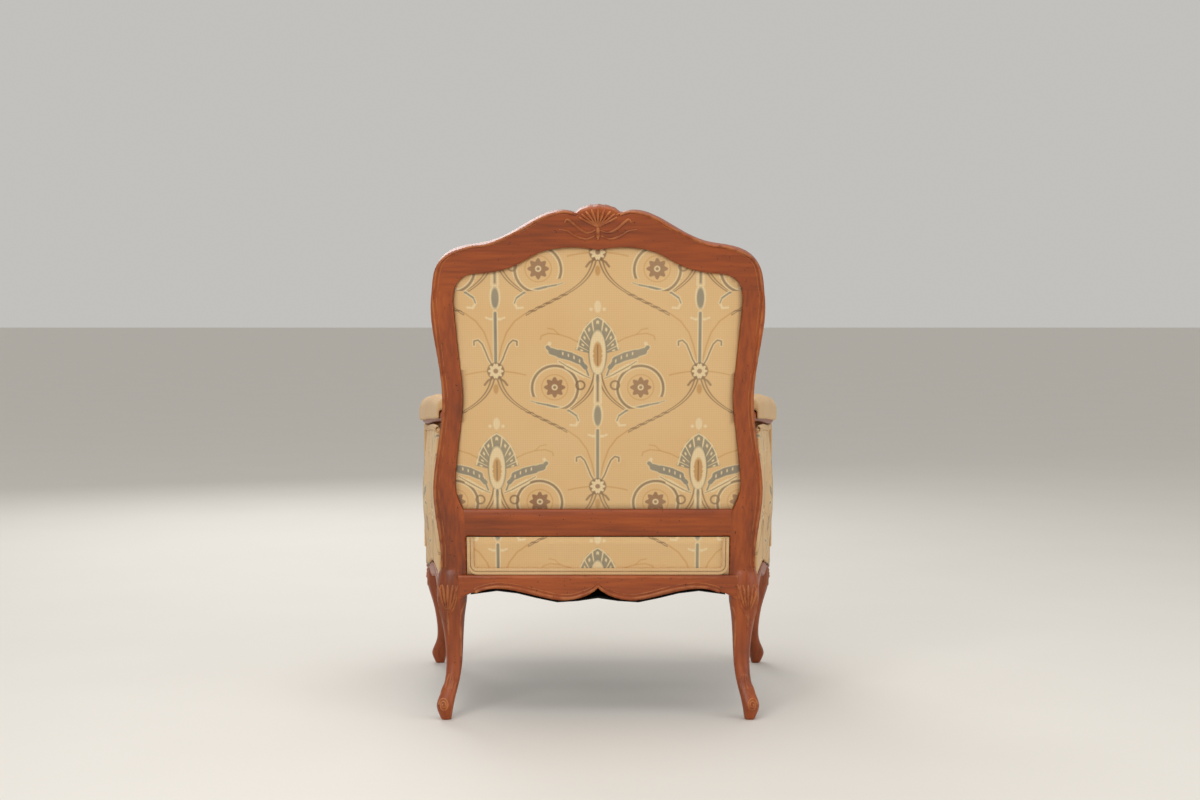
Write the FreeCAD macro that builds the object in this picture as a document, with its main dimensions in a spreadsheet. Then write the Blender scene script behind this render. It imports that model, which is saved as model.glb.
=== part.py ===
"""Bergere chair: a closed-arm upholstered chair with a carved show-wood frame.

Millimetres. +Z is up, the chair faces -Y, +X is the sitter's left.
The origin is on the floor, under the middle of the chair's outer box.
Each left-hand piece is modelled and its right-hand twin is its mirror image.
"""
import FreeCAD, Part
import math
import os
from FreeCAD import Placement, Rotation, Vector

SIZES = (
    # The raked back frame. Heights here run up the slope from the seat line.
    ("back_rake", 11, "slope of the back from upright, degrees"),
    ("back_face_y", 229, "rear face of the back frame at the seat line"),
    ("seat_line", 285, "floor to the top of the show wood of the seat rails"),
    ("frame_thick", 36, "thickness of the back frame, front to rear"),
    ("nip_half", 312, "half width of the back where it nips in over the seat"),
    ("nip_height", 66, "height of that nip"),
    ("hip_half", 322, "half width of the back at the hip"),
    ("hip_height", 165, "height of the hip"),
    ("waist_half", 301, "half width of the back at the waist"),
    ("waist_height", 345, "height of the waist"),
    ("shoulder_half", 319, "half width of the back at the shoulder"),
    ("shoulder_height", 545, "height of the shoulder"),
    ("joint_height", 572, "height of the joint of stile and crest rail"),
    ("crest_height", 728, "height of the top of the shell"),
    ("crest_depth", 84, "crest rail and shell, top to underside at the middle"),
    ("shell_half", 40, "half width of the carved shell"),
    ("shell_rise", 18, "rise of the shell over the notches beside it"),
    ("hip_width", 45, "stile width at the hip"),
    ("waist_width", 40, "stile width at the waist"),
    ("shoulder_width", 44, "stile width at the shoulder"),
    ("opening_half", 258, "half the clear width between the stiles at the seat"),
    ("cross_bottom", 75, "underside of the lower back rail"),
    ("cross_top", 130, "top of the lower back rail"),
    ("cross_step", 16, "height of the sloped step along its top"),
    ("cross_thick", 28, "thickness of the lower back rail"),
    ("bead_width", 9, "width of the bead round the front of the back"),
    ("bead_rise", 4, "rise of that bead"),
    # The seat frame.
    ("rail_top", 305, "floor to the top of the seat rails, under the cloth"),
    ("rail_low", 231, "floor to the lowest lobes of the front and rear rails"),
    ("rail_thick", 34, "thickness of the seat rails"),
    ("rail_proud", 7, "rear rail stands behind the back frame by this"),
    ("rabbet", 8, "depth of the rabbet that takes the cloth"),
    ("notch_rise", 25, "rise of the centre notch over the lobes"),
    ("front_y", -340, "front face of the front rail at its ends"),
    ("front_bow", 19, "bow of the front rail"),
    ("front_half", 342, "half the length of the front rail, into the legs"),
    ("side_front_x", 384, "outer face of the side rail at the front leg"),
    ("side_front_y", -296, "where the side rail meets the front leg"),
    ("side_rear_x", 318, "outer face of the side rail at the rear leg"),
    ("side_rear_y", 196, "where the side rail meets the rear leg"),
    # The legs.
    ("sole_width", 20, "width of the flat sole"),
    ("foot_width", 34, "width of the foot at its volute"),
    ("ankle_width", 29, "width of the ankle"),
    ("knee_width", 60, "width of the knee"),
    ("rear_foot_x", 298, "middle of the rear sole"),
    ("rear_foot_y", 254, "middle of the rear sole"),
    ("front_foot_x", 357, "middle of the front sole"),
    ("front_foot_y", -336, "middle of the front sole"),
    ("rear_knee_x", 289, "middle of the rear knee"),
    ("rear_knee_y", 208, "middle of the rear knee"),
    ("front_knee_x", 355, "middle of the front knee"),
    ("front_knee_y", -326, "middle of the front knee"),
    ("front_knee_top", 231, "top of the carved front knee, under the cloth"),
    # The arms.
    ("arm_height", 578, "floor to the top of the wooden arm at the handhold"),
    ("arm_rise", 28, "rise of the wooden arm from the handhold to the stile"),
    ("arm_thick", 26, "thickness of the wooden arm"),
    ("arm_width", 44, "width of the wooden arm at the handhold"),
    ("arm_front_y", -246, "front end of the handhold"),
    ("arm_front_x", 366, "middle of the handhold"),
    ("cap_thick", 34, "thickness of the padded arm cap"),
    ("cap_side", 6, "thickness of the cap's cloth beside the arm"),
    ("cap_drop", 18, "drop of the cap's cloth beside the arm"),
    ("post_y", -232, "middle of the foot of the arm post"),
    ("post_width", 34, "width of the arm post"),
    ("panel_thick", 9, "thickness of the outside arm cloth and wadding at its edge"),
    ("panel_bulge", 17, "bulge of the outside arm"),
    ("arm_wall", 70, "outside to inside of the padded arm"),
    ("inside_thick", 32, "thickness of the padding inside the arm"),
    # The seat and back upholstery.
    ("wire", 3.6, "diameter of the seat spring wire"),
    ("deck_top", 345, "floor to the top of the seat deck"),
    ("cushion_thick", 112, "thickness of the seat cushion at its border"),
    ("cushion_crown", 14, "crown of the seat cushion, each face"),
    ("cushion_rear_y", 158, "rear end of the seat cushion"),
    ("cushion_front_y", -338, "front corners of the seat cushion"),
    ("back_recess", 8, "depth at which the outside back cloth lies"),
    ("cloth", 2, "thickness of cloth with its lining"),
    ("strap", 50, "width of a webbing strap"),
    ("strap_thick", 1.5, "thickness of a webbing strap"),
    ("wall_start", 62, "the inside arm starts this far before the back's rear face"),
    ("back_pad_rise", 46, "rise of the inside back pad over the frame"),
    ("welt", 14, "width of a double welt"),
    ("welt_rise", 5, "height of a double welt"),
    ("tenon_thick", 9, "thickness of the loose tenons of the frame"),
    ("tenon_wide", 20, "width of the loose tenons"),
    ("tenon_length", 50, "length of the loose tenons"),
    ("screw", 5, "diameter of the corner block screws"),
    ("gap", 0.3, "clearance between pieces that don't touch face to face"),
)

doc = FreeCAD.newDocument("bergere_chair")
sheet = doc.addObject("Spreadsheet::Sheet", "Sizes")
for row, (alias, value, meaning) in enumerate(SIZES, 1):
    sheet.set(f"A{row}", meaning)
    sheet.set(f"B{row}", str(value))
    sheet.setAlias(f"B{row}", alias)
doc.recompute()


def size(alias):
    """The number that the sheet holds under this alias."""
    return float(sheet.get(alias))


RAKE = math.radians(size("back_rake"))
parts = []


def keep(piece):
    """Note a finished piece, in the order in which the chair is built."""
    parts.append(piece)
    return piece


# Curves and sketches

def curve(points):
    """A straight line through two points, or a smooth curve through more."""
    vectors = [Vector(x, y, 0) for x, y in points]
    if len(vectors) == 2:
        return Part.LineSegment(*vectors)
    smooth = Part.BSplineCurve()
    smooth.interpolate(vectors)
    return smooth


def stretch(points, first, last, step=13.0):
    """Short straight runs along the smooth curve through points, from first to last."""
    smooth = curve(points)
    bounds = [smooth.parameter(Vector(*points[number], 0)) for number in (first, last)]
    smooth.segment(min(bounds), max(bounds))
    edge = smooth.toShape()
    found = edge.discretize(max(2, round(edge.Length / step) + 1))
    return [Part.LineSegment(*pair) for pair in zip(found, found[1:])]


def parallel(points, distance):
    """The points moved sideways, to the left of the way they run."""
    moved = []
    for number, (x, y) in enumerate(points):
        x0, y0 = points[max(number - 1, 0)]
        x1, y1 = points[min(number + 1, len(points) - 1)]
        length = math.hypot(x1 - x0, y1 - y0)
        moved.append((x - (y1 - y0) / length * distance, y + (x1 - x0) / length * distance))
    return moved


def mirrored(points):
    """The same points on the chair's other side, in the opposite order."""
    return [(-x, y) for x, y in reversed(points)]


def polygon(points):
    """The straight sides of a closed outline."""
    return [curve(pair) for pair in zip(points, points[1:] + points[:1])]


def rounded_box(width, depth, radius):
    """A rectangle whose corners are each turned in two straight cuts."""
    radius = min(radius, 0.49 * width, 0.49 * depth)
    a, b = width / 2, depth / 2
    share = 1 - math.sqrt(0.5)
    corner = [(a, b - radius), (a - radius * share, b - radius * share), (a - radius, b)]
    upper = corner + [(-x, y) for x, y in reversed(corner)]
    return polygon(upper + [(-x, -y) for x, y in upper])


def arched(start, middle, end, steps):
    """Points of the arc through three points, in equal steps."""
    arc = Part.Arc(*[Vector(x, y, 0) for x, y in (start, middle, end)])
    return [(point.x, point.y) for point in arc.toShape().discretize(steps + 1)]


def traced(points, step):
    """Points of the smooth curve through the given ones, about a step apart."""
    edge = curve(points).toShape()
    found = edge.discretize(max(2, round(edge.Length / step) + 1))
    return [(point.x, point.y) for point in found]


def new_body(label):
    """An empty body with its name."""
    body = doc.addObject("PartDesign::Body", label)
    body.Label = label
    return body


def new_sketch(body, name, role, outline, place=Placement()):
    """A sketch of an outline on one of the body's own origin planes."""
    sketch = body.newObject("Sketcher::SketchObject", name)
    plane = [item for item in body.Origin.OriginFeatures if item.Role == role][0]
    sketch.AttachmentSupport = [(plane, "")]
    sketch.MapMode = "FlatFace"
    sketch.AttachmentOffset = place
    for edge in outline:
        sketch.addGeometry(edge, False)
    return sketch


def add_pad(body, name, outline, length, role="XZ_Plane", start=None):
    """Raise an outline by a length, from an offset of its plane. Both are expressions."""
    sketch = new_sketch(body, name + "_outline", role, outline)
    if start:
        sketch.setExpression("AttachmentOffset.Base.z", start)
    pad = body.newObject("PartDesign::Pad", name)
    pad.Profile = sketch
    pad.setExpression("Length", length)
    doc.recompute()
    return pad


def on_back(piece):
    """Lay a piece that was drawn upright onto the slope of the back."""
    piece.Placement = Placement(Vector(0, size("back_face_y"), size("seat_line")),
                                Rotation(Vector(1, 0, 0), -size("back_rake")))
    piece.setExpression("Placement.Base.y", "Sizes.back_face_y")
    piece.setExpression("Placement.Base.z", "Sizes.seat_line")
    piece.setExpression("Placement.Rotation.Angle", "-Sizes.back_rake * 1 deg")
    return piece


def add_loft(label, stations):
    """A body through stations, each a placement and a closed outline."""
    body = new_body(label)
    sections = []
    for number, (place, outline) in enumerate(stations, 1):
        sections.append(new_sketch(body, f"{label}_{number}", "XY_Plane", outline, place))
    loft = body.newObject("PartDesign::AdditiveLoft", label + "_loft")
    loft.Profile = sections[0]
    loft.Sections = sections[1:]
    loft.Ruled = True
    doc.recompute()
    return body


def eased(rows, between=1):
    """The rows of numbers with more rows between each two, on a smooth curve through them."""
    result = []
    for number in range(len(rows) - 1):
        before, first = rows[max(number - 1, 0)], rows[number]
        second, after = rows[number + 1], rows[min(number + 2, len(rows) - 1)]
        for step in range(between + 1):
            share = step / (between + 1)
            result.append(tuple(
                b + 0.5 * share * (c - a + share * (2 * a - 5 * b + 4 * c - d
                                                    + share * (3 * b - a - 3 * c + d)))
                for a, b, c, d in zip(before, first, second, after)))
    return result + [tuple(rows[-1])]


def level(x, y, z):
    """A level station."""
    return Placement(Vector(x, y, z), Rotation())


def upright(x, y, z, lean=0.0):
    """An upright station that faces forward and leans back by some degrees."""
    return Placement(Vector(x, y, z), Rotation(Vector(1, 0, 0), 90 - lean))


def joined(label, *pieces):
    """Several shapes glued into one solid."""
    fuse = doc.addObject("Part::MultiFuse", label)
    fuse.Label = label
    fuse.Shapes = list(pieces)
    fuse.Refine = True
    doc.recompute()
    return fuse


def group(label, pieces):
    """Separate solids of one kind under one name."""
    compound = doc.addObject("Part::Compound", label)
    compound.Label = label
    compound.Links = list(pieces)
    doc.recompute()
    return compound


def cut_by(label, base, tools):
    """A piece less the space of its neighbours."""
    result = doc.addObject("Part::Cut", label)
    result.Label = label
    result.Base = base
    result.Tool = tools[0] if len(tools) == 1 else group(label + "_neighbours", tools)
    doc.recompute()
    return result


def mirror_of(label, piece):
    """The right-hand twin of a left-hand piece."""
    twin = doc.addObject("Part::Mirroring", label)
    twin.Label = label
    twin.Source = piece
    twin.Base = Vector(0, 0, 0)
    twin.Normal = Vector(1, 0, 0)
    doc.recompute()
    return twin


def add_box(label, low, high):
    """A box from its lowest to its highest corner."""
    box = doc.addObject("Part::Box", label)
    box.Label = label
    box.Length, box.Width, box.Height = [b - a for a, b in zip(low, high)]
    box.Placement = Placement(Vector(*low), Rotation())
    return box


def add_tenon(label, middle, direction, length=None):
    """A loose tenon by its middle and the way it points."""
    tenon = doc.addObject("Part::Box", label)
    tenon.Label = label
    tenon.setExpression("Length", "Sizes.tenon_thick")
    tenon.setExpression("Width", "Sizes.tenon_wide")
    tenon.Height = length or size("tenon_length")
    turn = Rotation(Vector(0, 0, 1), Vector(*direction).normalize())
    corner = Vector(size("tenon_thick"), size("tenon_wide"), float(tenon.Height)) * 0.5
    tenon.Placement = Placement(Vector(*middle) - turn.multVec(corner), turn)
    return tenon


def add_screw(label, start, end):
    """The shank of a wood screw from its head to its point."""
    screw = doc.addObject("Part::Prism", label)
    screw.Label = label
    screw.Polygon = 8
    screw.setExpression("Circumradius", "Sizes.screw / 2")
    run = Vector(*end) - Vector(*start)
    screw.Height = run.Length
    screw.Placement = Placement(Vector(*start), Rotation(Vector(0, 0, 1), run))
    return screw


def back_point(x, height, depth=0.0):
    """A point of the sloped back, depth in front of its rear face."""
    return (x,
            size("back_face_y") + height * math.sin(RAKE) - depth * math.cos(RAKE),
            size("seat_line") + height * math.cos(RAKE) + depth * math.sin(RAKE))


# The outline of the back, left half, seen from the front: x outward, y up the slope

STILE_BASE = -24.0
CREST_SPAN = size("crest_height") - size("joint_height")
HALF = size("shoulder_half")


def crest_point(across, up):
    """A point of the crest rail as shares of the half width and of the crest's span."""
    return (across * HALF, size("joint_height") + up * CREST_SPAN)


def outer_points():
    """The outer edge from the foot of the stile to the notch beside the shell."""
    nip, hip = size("nip_half"), size("hip_half")
    waist, shoulder = size("waist_half"), HALF
    notch_height = size("crest_height") - size("shell_rise")
    return [
        (nip, STILE_BASE),
        (nip, size("nip_height")),
        (hip, size("hip_height")),
        ((hip + waist) / 2, (size("hip_height") + size("waist_height")) / 2),
        (waist, size("waist_height")),
        ((waist + shoulder) / 2, (size("waist_height") + size("shoulder_height")) / 2),
        (shoulder, size("shoulder_height")),
        crest_point(0.991, 0.0),
        crest_point(0.968, 0.245),
        crest_point(0.915, 0.385),
        crest_point(0.787, 0.494),
        crest_point(0.655, 0.540),
        crest_point(0.464, 0.720),
        crest_point(0.345, 0.858),
        crest_point(0.223, 0.930),
        (size("shell_half"), notch_height),
    ]


OUTER_JOINT = 7


def inner_points():
    """The inner edge from the lower back rail to the middle of the crest."""
    hip = size("hip_half") - size("hip_width")
    waist = size("waist_half") - size("waist_width")
    shoulder = HALF - size("shoulder_width")
    underside = size("crest_height") - size("crest_depth")
    step_height = size("cross_top") - size("cross_step")
    return [
        (size("opening_half"), step_height),
        ((size("opening_half") + hip) / 2, size("cross_top") + 8.0),
        (hip, size("hip_height")),
        (hip, size("hip_height") + 40.0),
        ((hip + waist) / 2, (size("hip_height") + size("waist_height")) / 2 + 20.0),
        (waist, size("waist_height")),
        ((waist + shoulder) / 2, (size("waist_height") + size("shoulder_height")) / 2),
        (shoulder, size("shoulder_height") - 18.0),
        crest_point(0.853, 0.0),
        crest_point(0.812, 0.115),
        crest_point(0.655, 0.180),
        crest_point(0.545, 0.230),
        crest_point(0.467, 0.295),
        crest_point(0.386, 0.393),
        crest_point(0.194, 0.490),
        (0.0, underside),
    ]


INNER_JOINT = 8
OUTER = outer_points()
INNER = inner_points()


def shell_edge():
    """The scalloped top of the shell, seven lobes from left to right."""
    lobes, swell = 7, 1.6
    half, rise = size("shell_half"), size("shell_rise") - swell
    foot = size("crest_height") - size("shell_rise")

    def rim(step, out=0.0):
        turn = math.pi * step / lobes
        return Vector((half + out) * math.cos(turn), foot + (rise + out) * math.sin(turn), 0)

    return [Part.Arc(rim(step), rim(step + 0.5, swell), rim(step + 1)) for step in range(lobes)]


def build_back_frame():
    """The stiles' upper lengths, the crest rail and the lower back rail."""
    stile = on_back(new_body("stile_left"))
    base, step = STILE_BASE, INNER[0][1]
    opening = size("opening_half")
    outline = [
        *stretch(OUTER, 0, OUTER_JOINT),
        curve([OUTER[OUTER_JOINT], INNER[INNER_JOINT]]),
        *stretch(INNER, 0, INNER_JOINT),
        curve([(opening, step), (opening, base)]),
        curve([(opening, base), OUTER[0]]),
    ]
    add_pad(stile, "stile_left_pad", outline, "Sizes.frame_thick")

    bead = parallel(OUTER, 1.5)
    bead_inner = parallel(OUTER, size("bead_width"))
    bead_outline = [
        *stretch(bead, 0, OUTER_JOINT),
        curve([bead[OUTER_JOINT], bead_inner[OUTER_JOINT]]),
        *stretch(bead_inner, 0, OUTER_JOINT),
        curve([bead_inner[0], bead[0]]),
    ]
    add_pad(stile, "stile_left_bead", bead_outline, "Sizes.bead_rise", start="Sizes.frame_thick")

    crest = on_back(new_body("crest_blank"))
    left_outer = stretch(OUTER, OUTER_JOINT, len(OUTER) - 1)
    right_outer = stretch(mirrored(OUTER), 0, len(OUTER) - 1 - OUTER_JOINT)
    left_inner = stretch(INNER, INNER_JOINT, len(INNER) - 1)
    right_inner = stretch(mirrored(INNER), 0, len(INNER) - 1 - INNER_JOINT)
    right_joint = [(-x, y) for x, y in (OUTER[OUTER_JOINT], INNER[INNER_JOINT])]
    outline = [*left_outer, *right_outer, *left_inner, *right_inner,
               curve([OUTER[OUTER_JOINT], INNER[INNER_JOINT]]), curve(right_joint)]
    add_pad(crest, "crest_pad", outline + shell_edge(), "Sizes.frame_thick")
    last = len(OUTER) - 1
    for side, points, lower, ends in (
            ("left", bead, bead_inner, (OUTER_JOINT, last)),
            ("right", mirrored(bead), mirrored(bead_inner), (0, last - OUTER_JOINT))):
        strip = [*stretch(points, *ends), *stretch(lower, *ends),
                 curve([points[ends[0]], lower[ends[0]]]),
                 curve([points[ends[1]], lower[ends[1]]])]
        add_pad(crest, f"crest_bead_{side}", strip, "Sizes.bead_rise", start="Sizes.frame_thick")

    cross = on_back(new_body("lower_back_rail_blank"))
    bottom, top = size("cross_bottom"), size("cross_top")
    side = [(0, bottom), (0, step), (-5.0, top), (-size("cross_thick"), top),
            (-size("cross_thick"), bottom)]
    sketch = new_sketch(cross, "lower_back_rail_section", "YZ_Plane", polygon(side))
    pad = cross.newObject("PartDesign::Pad", "lower_back_rail_pad")
    pad.Profile = sketch
    pad.setExpression("Length", "Sizes.opening_half * 2 + Sizes.hip_width")
    pad.Midplane = True
    doc.recompute()
    return stile, crest, cross


# The legs

def leg_stations(knee, foot, top, toe):
    """Level stations of a cabriole leg from sole to top.

    knee and foot are (x, y); toe is the way the foot points, (x, y).
    Each station is (height, share of the way from foot to knee, push along toe,
    width). The ankle draws in behind both the knee and the foot.
    """
    sole, swell = size("sole_width"), size("foot_width")
    ankle, full = size("ankle_width"), size("knee_width")
    seat = size("seat_line")
    shape = (
        (0.0, 0.0, 0.0, sole),
        (0.035, 0.0, 1.5, sole + 0.4 * (swell - sole)),
        (0.10, 0.0, 3.0, swell),
        (0.17, 0.1, -3.0, 0.45 * swell + 0.55 * ankle),
        (0.25, 0.25, -10.0, ankle),
        (0.37, 0.45, -12.5, ankle + 0.08 * (full - ankle)),
        (0.55, 0.72, -8.0, ankle + 0.28 * (full - ankle)),
        (0.69, 0.92, -2.0, ankle + 0.62 * (full - ankle)),
        (0.79, 1.0, 0.0, ankle + 0.94 * (full - ankle)),
        (0.87, 1.0, 0.0, full),
        (0.94, 1.0, -1.0, 0.97 * full),
        (1.0, 1.0, -2.0, 0.86 * full),
    )
    stations = []
    for share, way, push, width in eased(shape):
        x = foot[0] + way * (knee[0] - foot[0]) + push * toe[0]
        y = foot[1] + way * (knee[1] - foot[1]) + push * toe[1]
        stations.append((level(x, y, share * top), rounded_box(width, width, 0.36 * width)))
    return stations


def build_legs(stile):
    """The four legs. Each rear leg is one piece with its stile."""
    rear = add_loft("rear_leg_lower", leg_stations(
        (size("rear_knee_x"), size("rear_knee_y")),
        (size("rear_foot_x"), size("rear_foot_y")),
        size("seat_line") + 4.0, (0.8, 0.6)))
    rear_leg = joined("rear_leg_blank", stile, rear)
    front = add_loft("front_leg_lower", leg_stations(
        (size("front_knee_x"), size("front_knee_y")),
        (size("front_foot_x"), size("front_foot_y")),
        size("front_knee_top"), (0.75, -0.66)))
    full = size("knee_width") / 2 - 1.0
    half = full - size("rabbet")
    x, y = size("front_knee_x"), size("front_knee_y")
    low = size("front_knee_top") - 12.0
    block = add_box("front_leg_block", (x - full, y - full, low),
                    (x + half, y + half, size("seat_line")))
    upper = add_box("front_leg_top", (x - full, y - half, low),
                    (x + half, y + half, size("rail_top")))
    front_leg = joined("front_leg_blank", front, block, upper)
    return rear_leg, front_leg


# The seat frame

def lower_edge(half, low, rise):
    """The serpentine underside of a rail, left half from the notch outwards."""
    return [
        (0.0, low + rise),
        (0.05 * half, low + 0.56 * rise),
        (0.165 * half, low + 0.10 * rise),
        (0.25 * half, low),
        (0.36 * half, low + 0.15 * rise),
        (0.57 * half, low + 0.70 * rise),
        (0.73 * half, low + 0.93 * rise),
        (0.86 * half, low + 0.75 * rise),
        (half, low - 0.12 * rise),
    ]


def rail_outline(half, low, rise, top):
    """A rail's elevation: the serpentine underside on both sides, a straight top."""
    left = lower_edge(half, low, rise)
    return [curve(left), curve(mirrored(left)),
            curve([(half, left[-1][1]), (half, top)]),
            curve([(half, top), (-half, top)]),
            curve([(-half, top), (-half, left[-1][1])])]


def build_rear_rail():
    """The rear seat rail, flat behind, with a rabbet for the lower back cloth."""
    rail = new_body("rear_seat_rail_blank")
    face = size("back_face_y") + size("rail_proud")
    rail.Placement = Placement(Vector(0, face, 0), Rotation())
    rail.setExpression("Placement.Base.y", "Sizes.back_face_y + Sizes.rail_proud")
    half = size("opening_half") + 14.0
    low, rise = size("rail_low"), size("notch_rise")
    add_pad(rail, "rear_rail_show", rail_outline(half, low, rise, size("seat_line") - 3.0),
            "Sizes.rail_thick")
    upper = polygon([(-half, size("seat_line") - 6.0), (half, size("seat_line") - 6.0),
                     (half, size("rail_top")), (-half, size("rail_top"))])
    add_pad(rail, "rear_rail_upper", upper,
            "Sizes.rail_thick - Sizes.rabbet - Sizes.rail_proud - Sizes.cloth",
            start="Sizes.rabbet + Sizes.rail_proud + Sizes.cloth")
    return rail


def bowed_plan(half, front, bow, thick, inset=0.0):
    """The plan of a bowed rail: two arcs and two short ends."""
    ends = [(-half, front + inset), (half, front + inset)]
    outer = Part.Arc(Vector(*ends[0], 0), Vector(0, front - bow + inset, 0), Vector(*ends[1], 0))
    back = front + thick
    inner = Part.Arc(Vector(-half, back, 0), Vector(0, back - bow, 0), Vector(half, back, 0))
    return [outer, inner, curve([(-half, front + inset), (-half, back)]),
            curve([(half, front + inset), (half, back)])]


def build_front_rail():
    """The front seat rail, bowed in plan, with a serpentine underside."""
    rail = new_body("front_seat_rail_blank")
    half, front = size("front_half"), size("front_y")
    bow, thick = size("front_bow"), size("rail_thick")
    plan = bowed_plan(half, front, bow, thick)
    add_pad(rail, "front_rail_show", plan, "Sizes.seat_line - Sizes.rail_low + 10",
            role="XY_Plane", start="Sizes.rail_low - 10")
    plan = bowed_plan(half, front, bow, thick, size("rabbet"))
    add_pad(rail, "front_rail_upper", plan, "Sizes.rail_top - Sizes.seat_line + 5",
            role="XY_Plane", start="Sizes.seat_line - 5")
    low, rise = size("rail_low"), size("notch_rise")
    left = lower_edge(half - 12.0, low, rise)
    floor = low - 30.0
    under = [curve(left), curve(mirrored(left)),
             curve([left[-1], (half + 5.0, left[-1][1])]),
             curve([(half + 5.0, left[-1][1]), (half + 5.0, floor)]),
             curve([(half + 5.0, floor), (-half - 5.0, floor)]),
             curve([(-half - 5.0, floor), (-half - 5.0, left[-1][1])]),
             curve([(-half - 5.0, left[-1][1]), (-left[-1][0], left[-1][1])])]
    sketch = new_sketch(rail, "front_rail_under", "XZ_Plane", under)
    pocket = rail.newObject("PartDesign::Pocket", "front_rail_serpentine")
    pocket.Profile = sketch
    pocket.Type = "ThroughAll"
    pocket.Midplane = True
    doc.recompute()
    return rail


def side_line(y, out=0.0):
    """The x of the straight outer face of the left side rail, at a y."""
    x0, y0 = size("side_rear_x"), size("side_rear_y")
    x1, y1 = size("side_front_x"), size("side_front_y")
    return x0 + (y - y0) * (x1 - x0) / (y1 - y0) + out


def side_frame():
    """The left side rail's own frame: x forward along its outer face, y outward."""
    run = Vector(size("side_front_x") - size("side_rear_x"),
                 size("side_front_y") - size("side_rear_y"), 0)
    turn = math.degrees(math.atan2(run.y, run.x))
    return (Placement(Vector(size("side_rear_x"), size("side_rear_y"), 0),
                      Rotation(Vector(0, 0, 1), turn)), run.Length)


SIDE_TENON = 8.0
SIDE_REACH = 13.5
CLOTH_REAR_DROP = 20.0
CLOTH_MIDDLE_DROP = 14.0


def line_height(share):
    """Height of the lower edge of the arm's cloth, by its share of the way forward."""
    seat, front = size("seat_line"), size("front_knee_top")
    middle = seat - CLOTH_MIDDLE_DROP
    if share < 0.4:
        return middle - (CLOTH_REAR_DROP - CLOTH_MIDDLE_DROP) * (1.0 - share / 0.4) ** 2
    return middle + (front - middle) * 0.5 * (1.0 - math.cos(math.pi * (share - 0.4) / 0.6))


def cloth_line(length):
    """Where the outside arm cloth ends on the side rail, from rear to front."""
    inner = [(share * length, line_height(share)) for share in (0.0, 0.2, 0.4, 0.6, 0.8, 1.0)]
    return [(-30.0, inner[0][1])] + inner + [(length + 30.0, inner[-1][1])]


def build_side_rail():
    """The left side rail: serpentine below, with a rabbet for the arm's cloth."""
    rail = new_body("side_seat_rail_blank")
    place, length = side_frame()
    rail.Placement = place
    low, rise = size("rail_low"), size("notch_rise")
    rear, front = -SIDE_TENON, length + SIDE_REACH
    lower = [(rear, low), (0.10 * length, low + 0.55 * rise), (0.28 * length, low + rise),
             (0.55 * length, low + 0.2 * rise), (0.78 * length, low + 0.2 * rise),
             (0.92 * length, low - 0.2 * rise), (front, low - 10.0)]
    top = size("rail_top")
    outline = [curve(lower), curve([lower[-1], (front, top)]),
               curve([(front, top), (rear, top)]), curve([(rear, top), lower[0]])]
    add_pad(rail, "side_rail_pad", outline, "Sizes.rail_thick")
    line = cloth_line(length)
    above = [curve(line), curve([line[-1], (length + 30.0, top + 5.0)]),
             curve([(length + 30.0, top + 5.0), (-30.0, top + 5.0)]),
             curve([(-30.0, top + 5.0), line[0]])]
    sketch = new_sketch(rail, "side_rail_rabbet_outline", "XZ_Plane", above)
    pocket = rail.newObject("PartDesign::Pocket", "side_rail_rabbet")
    pocket.Profile = sketch
    pocket.setExpression("Length", "Sizes.rabbet + Sizes.cloth")
    pocket.Reversed = True
    doc.recompute()
    return rail


# The arms

def arm_shares():
    """The left arm's y at each of its stations, rear to front."""
    rear = back_point(0, 320.0, size("frame_thick") - 4.0)[1]
    front = size("arm_front_y")
    return [rear + share * (front - rear) for share in (0.0, 0.2, 0.4, 0.62, 0.82, 0.94, 1.0)]


def arm_x(y):
    """The middle of the wooden arm at a y, left side."""
    rear = arm_shares()[0]
    start = size("waist_half") - size("waist_width") / 2
    share = (rear - y) / (rear - size("arm_front_y"))
    return start + (size("arm_front_x") - start) * (0.3 * share + 0.7 * math.sin(share * math.pi / 2))


def arm_top(y):
    """The top of the wooden arm at a y: it falls towards the handhold."""
    rear = arm_shares()[0]
    share = (rear - y) / (rear - size("arm_front_y"))
    return size("arm_height") + size("arm_rise") * (0.5 + 0.5 * math.cos(share * math.pi))


def arm_width(share):
    """The width of the wooden arm by its share of the way to the front."""
    return size("arm_width") * (0.66 + 0.34 * share ** 2)


def build_arm(rear_leg):
    """The left wooden arm, from the stile to its rounded handhold, and its post."""
    stations = []
    ys = [row[0] for row in eased([(y,) for y in arm_shares()])]
    for number, y in enumerate(ys):
        share = (ys[0] - y) / (ys[0] - ys[-1])
        end = 0.62 if number == len(ys) - 1 else 1.0
        width, thick = arm_width(share) * end, size("arm_thick") * end
        place = upright(arm_x(y), y, arm_top(y) - size("arm_thick") / 2)
        stations.append((place, rounded_box(width, thick, 0.35 * thick)))
    arm = add_loft("arm_rail_blank", stations)

    foot, width = size("rail_top"), size("post_width")
    y = size("post_y")
    under = arm_top(y + 14.0) - size("arm_thick") / 2
    shape = ((0.0, 0.0, 1.1), (0.15, 0.0, 1.0), (0.38, 10.0, 0.92), (0.62, 20.0, 0.9),
             (0.85, 20.0, 0.94), (1.0, 14.0, 1.0))
    stations = []
    for share, back, scale in eased(shape):
        station_y = y + back
        x = side_line(station_y) - size("rabbet") - width * 0.55 + share * 4.0
        stations.append((level(x, station_y, foot + share * (under - foot)),
                         rounded_box(width * scale, width * scale, 0.25 * width)))
    post = add_loft("arm_post_blank", stations)
    arm = cut_by("arm_rail_blank_cut", arm, [rear_leg])
    post = cut_by("arm_post_blank_cut", post, [arm])
    return arm, post


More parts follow.
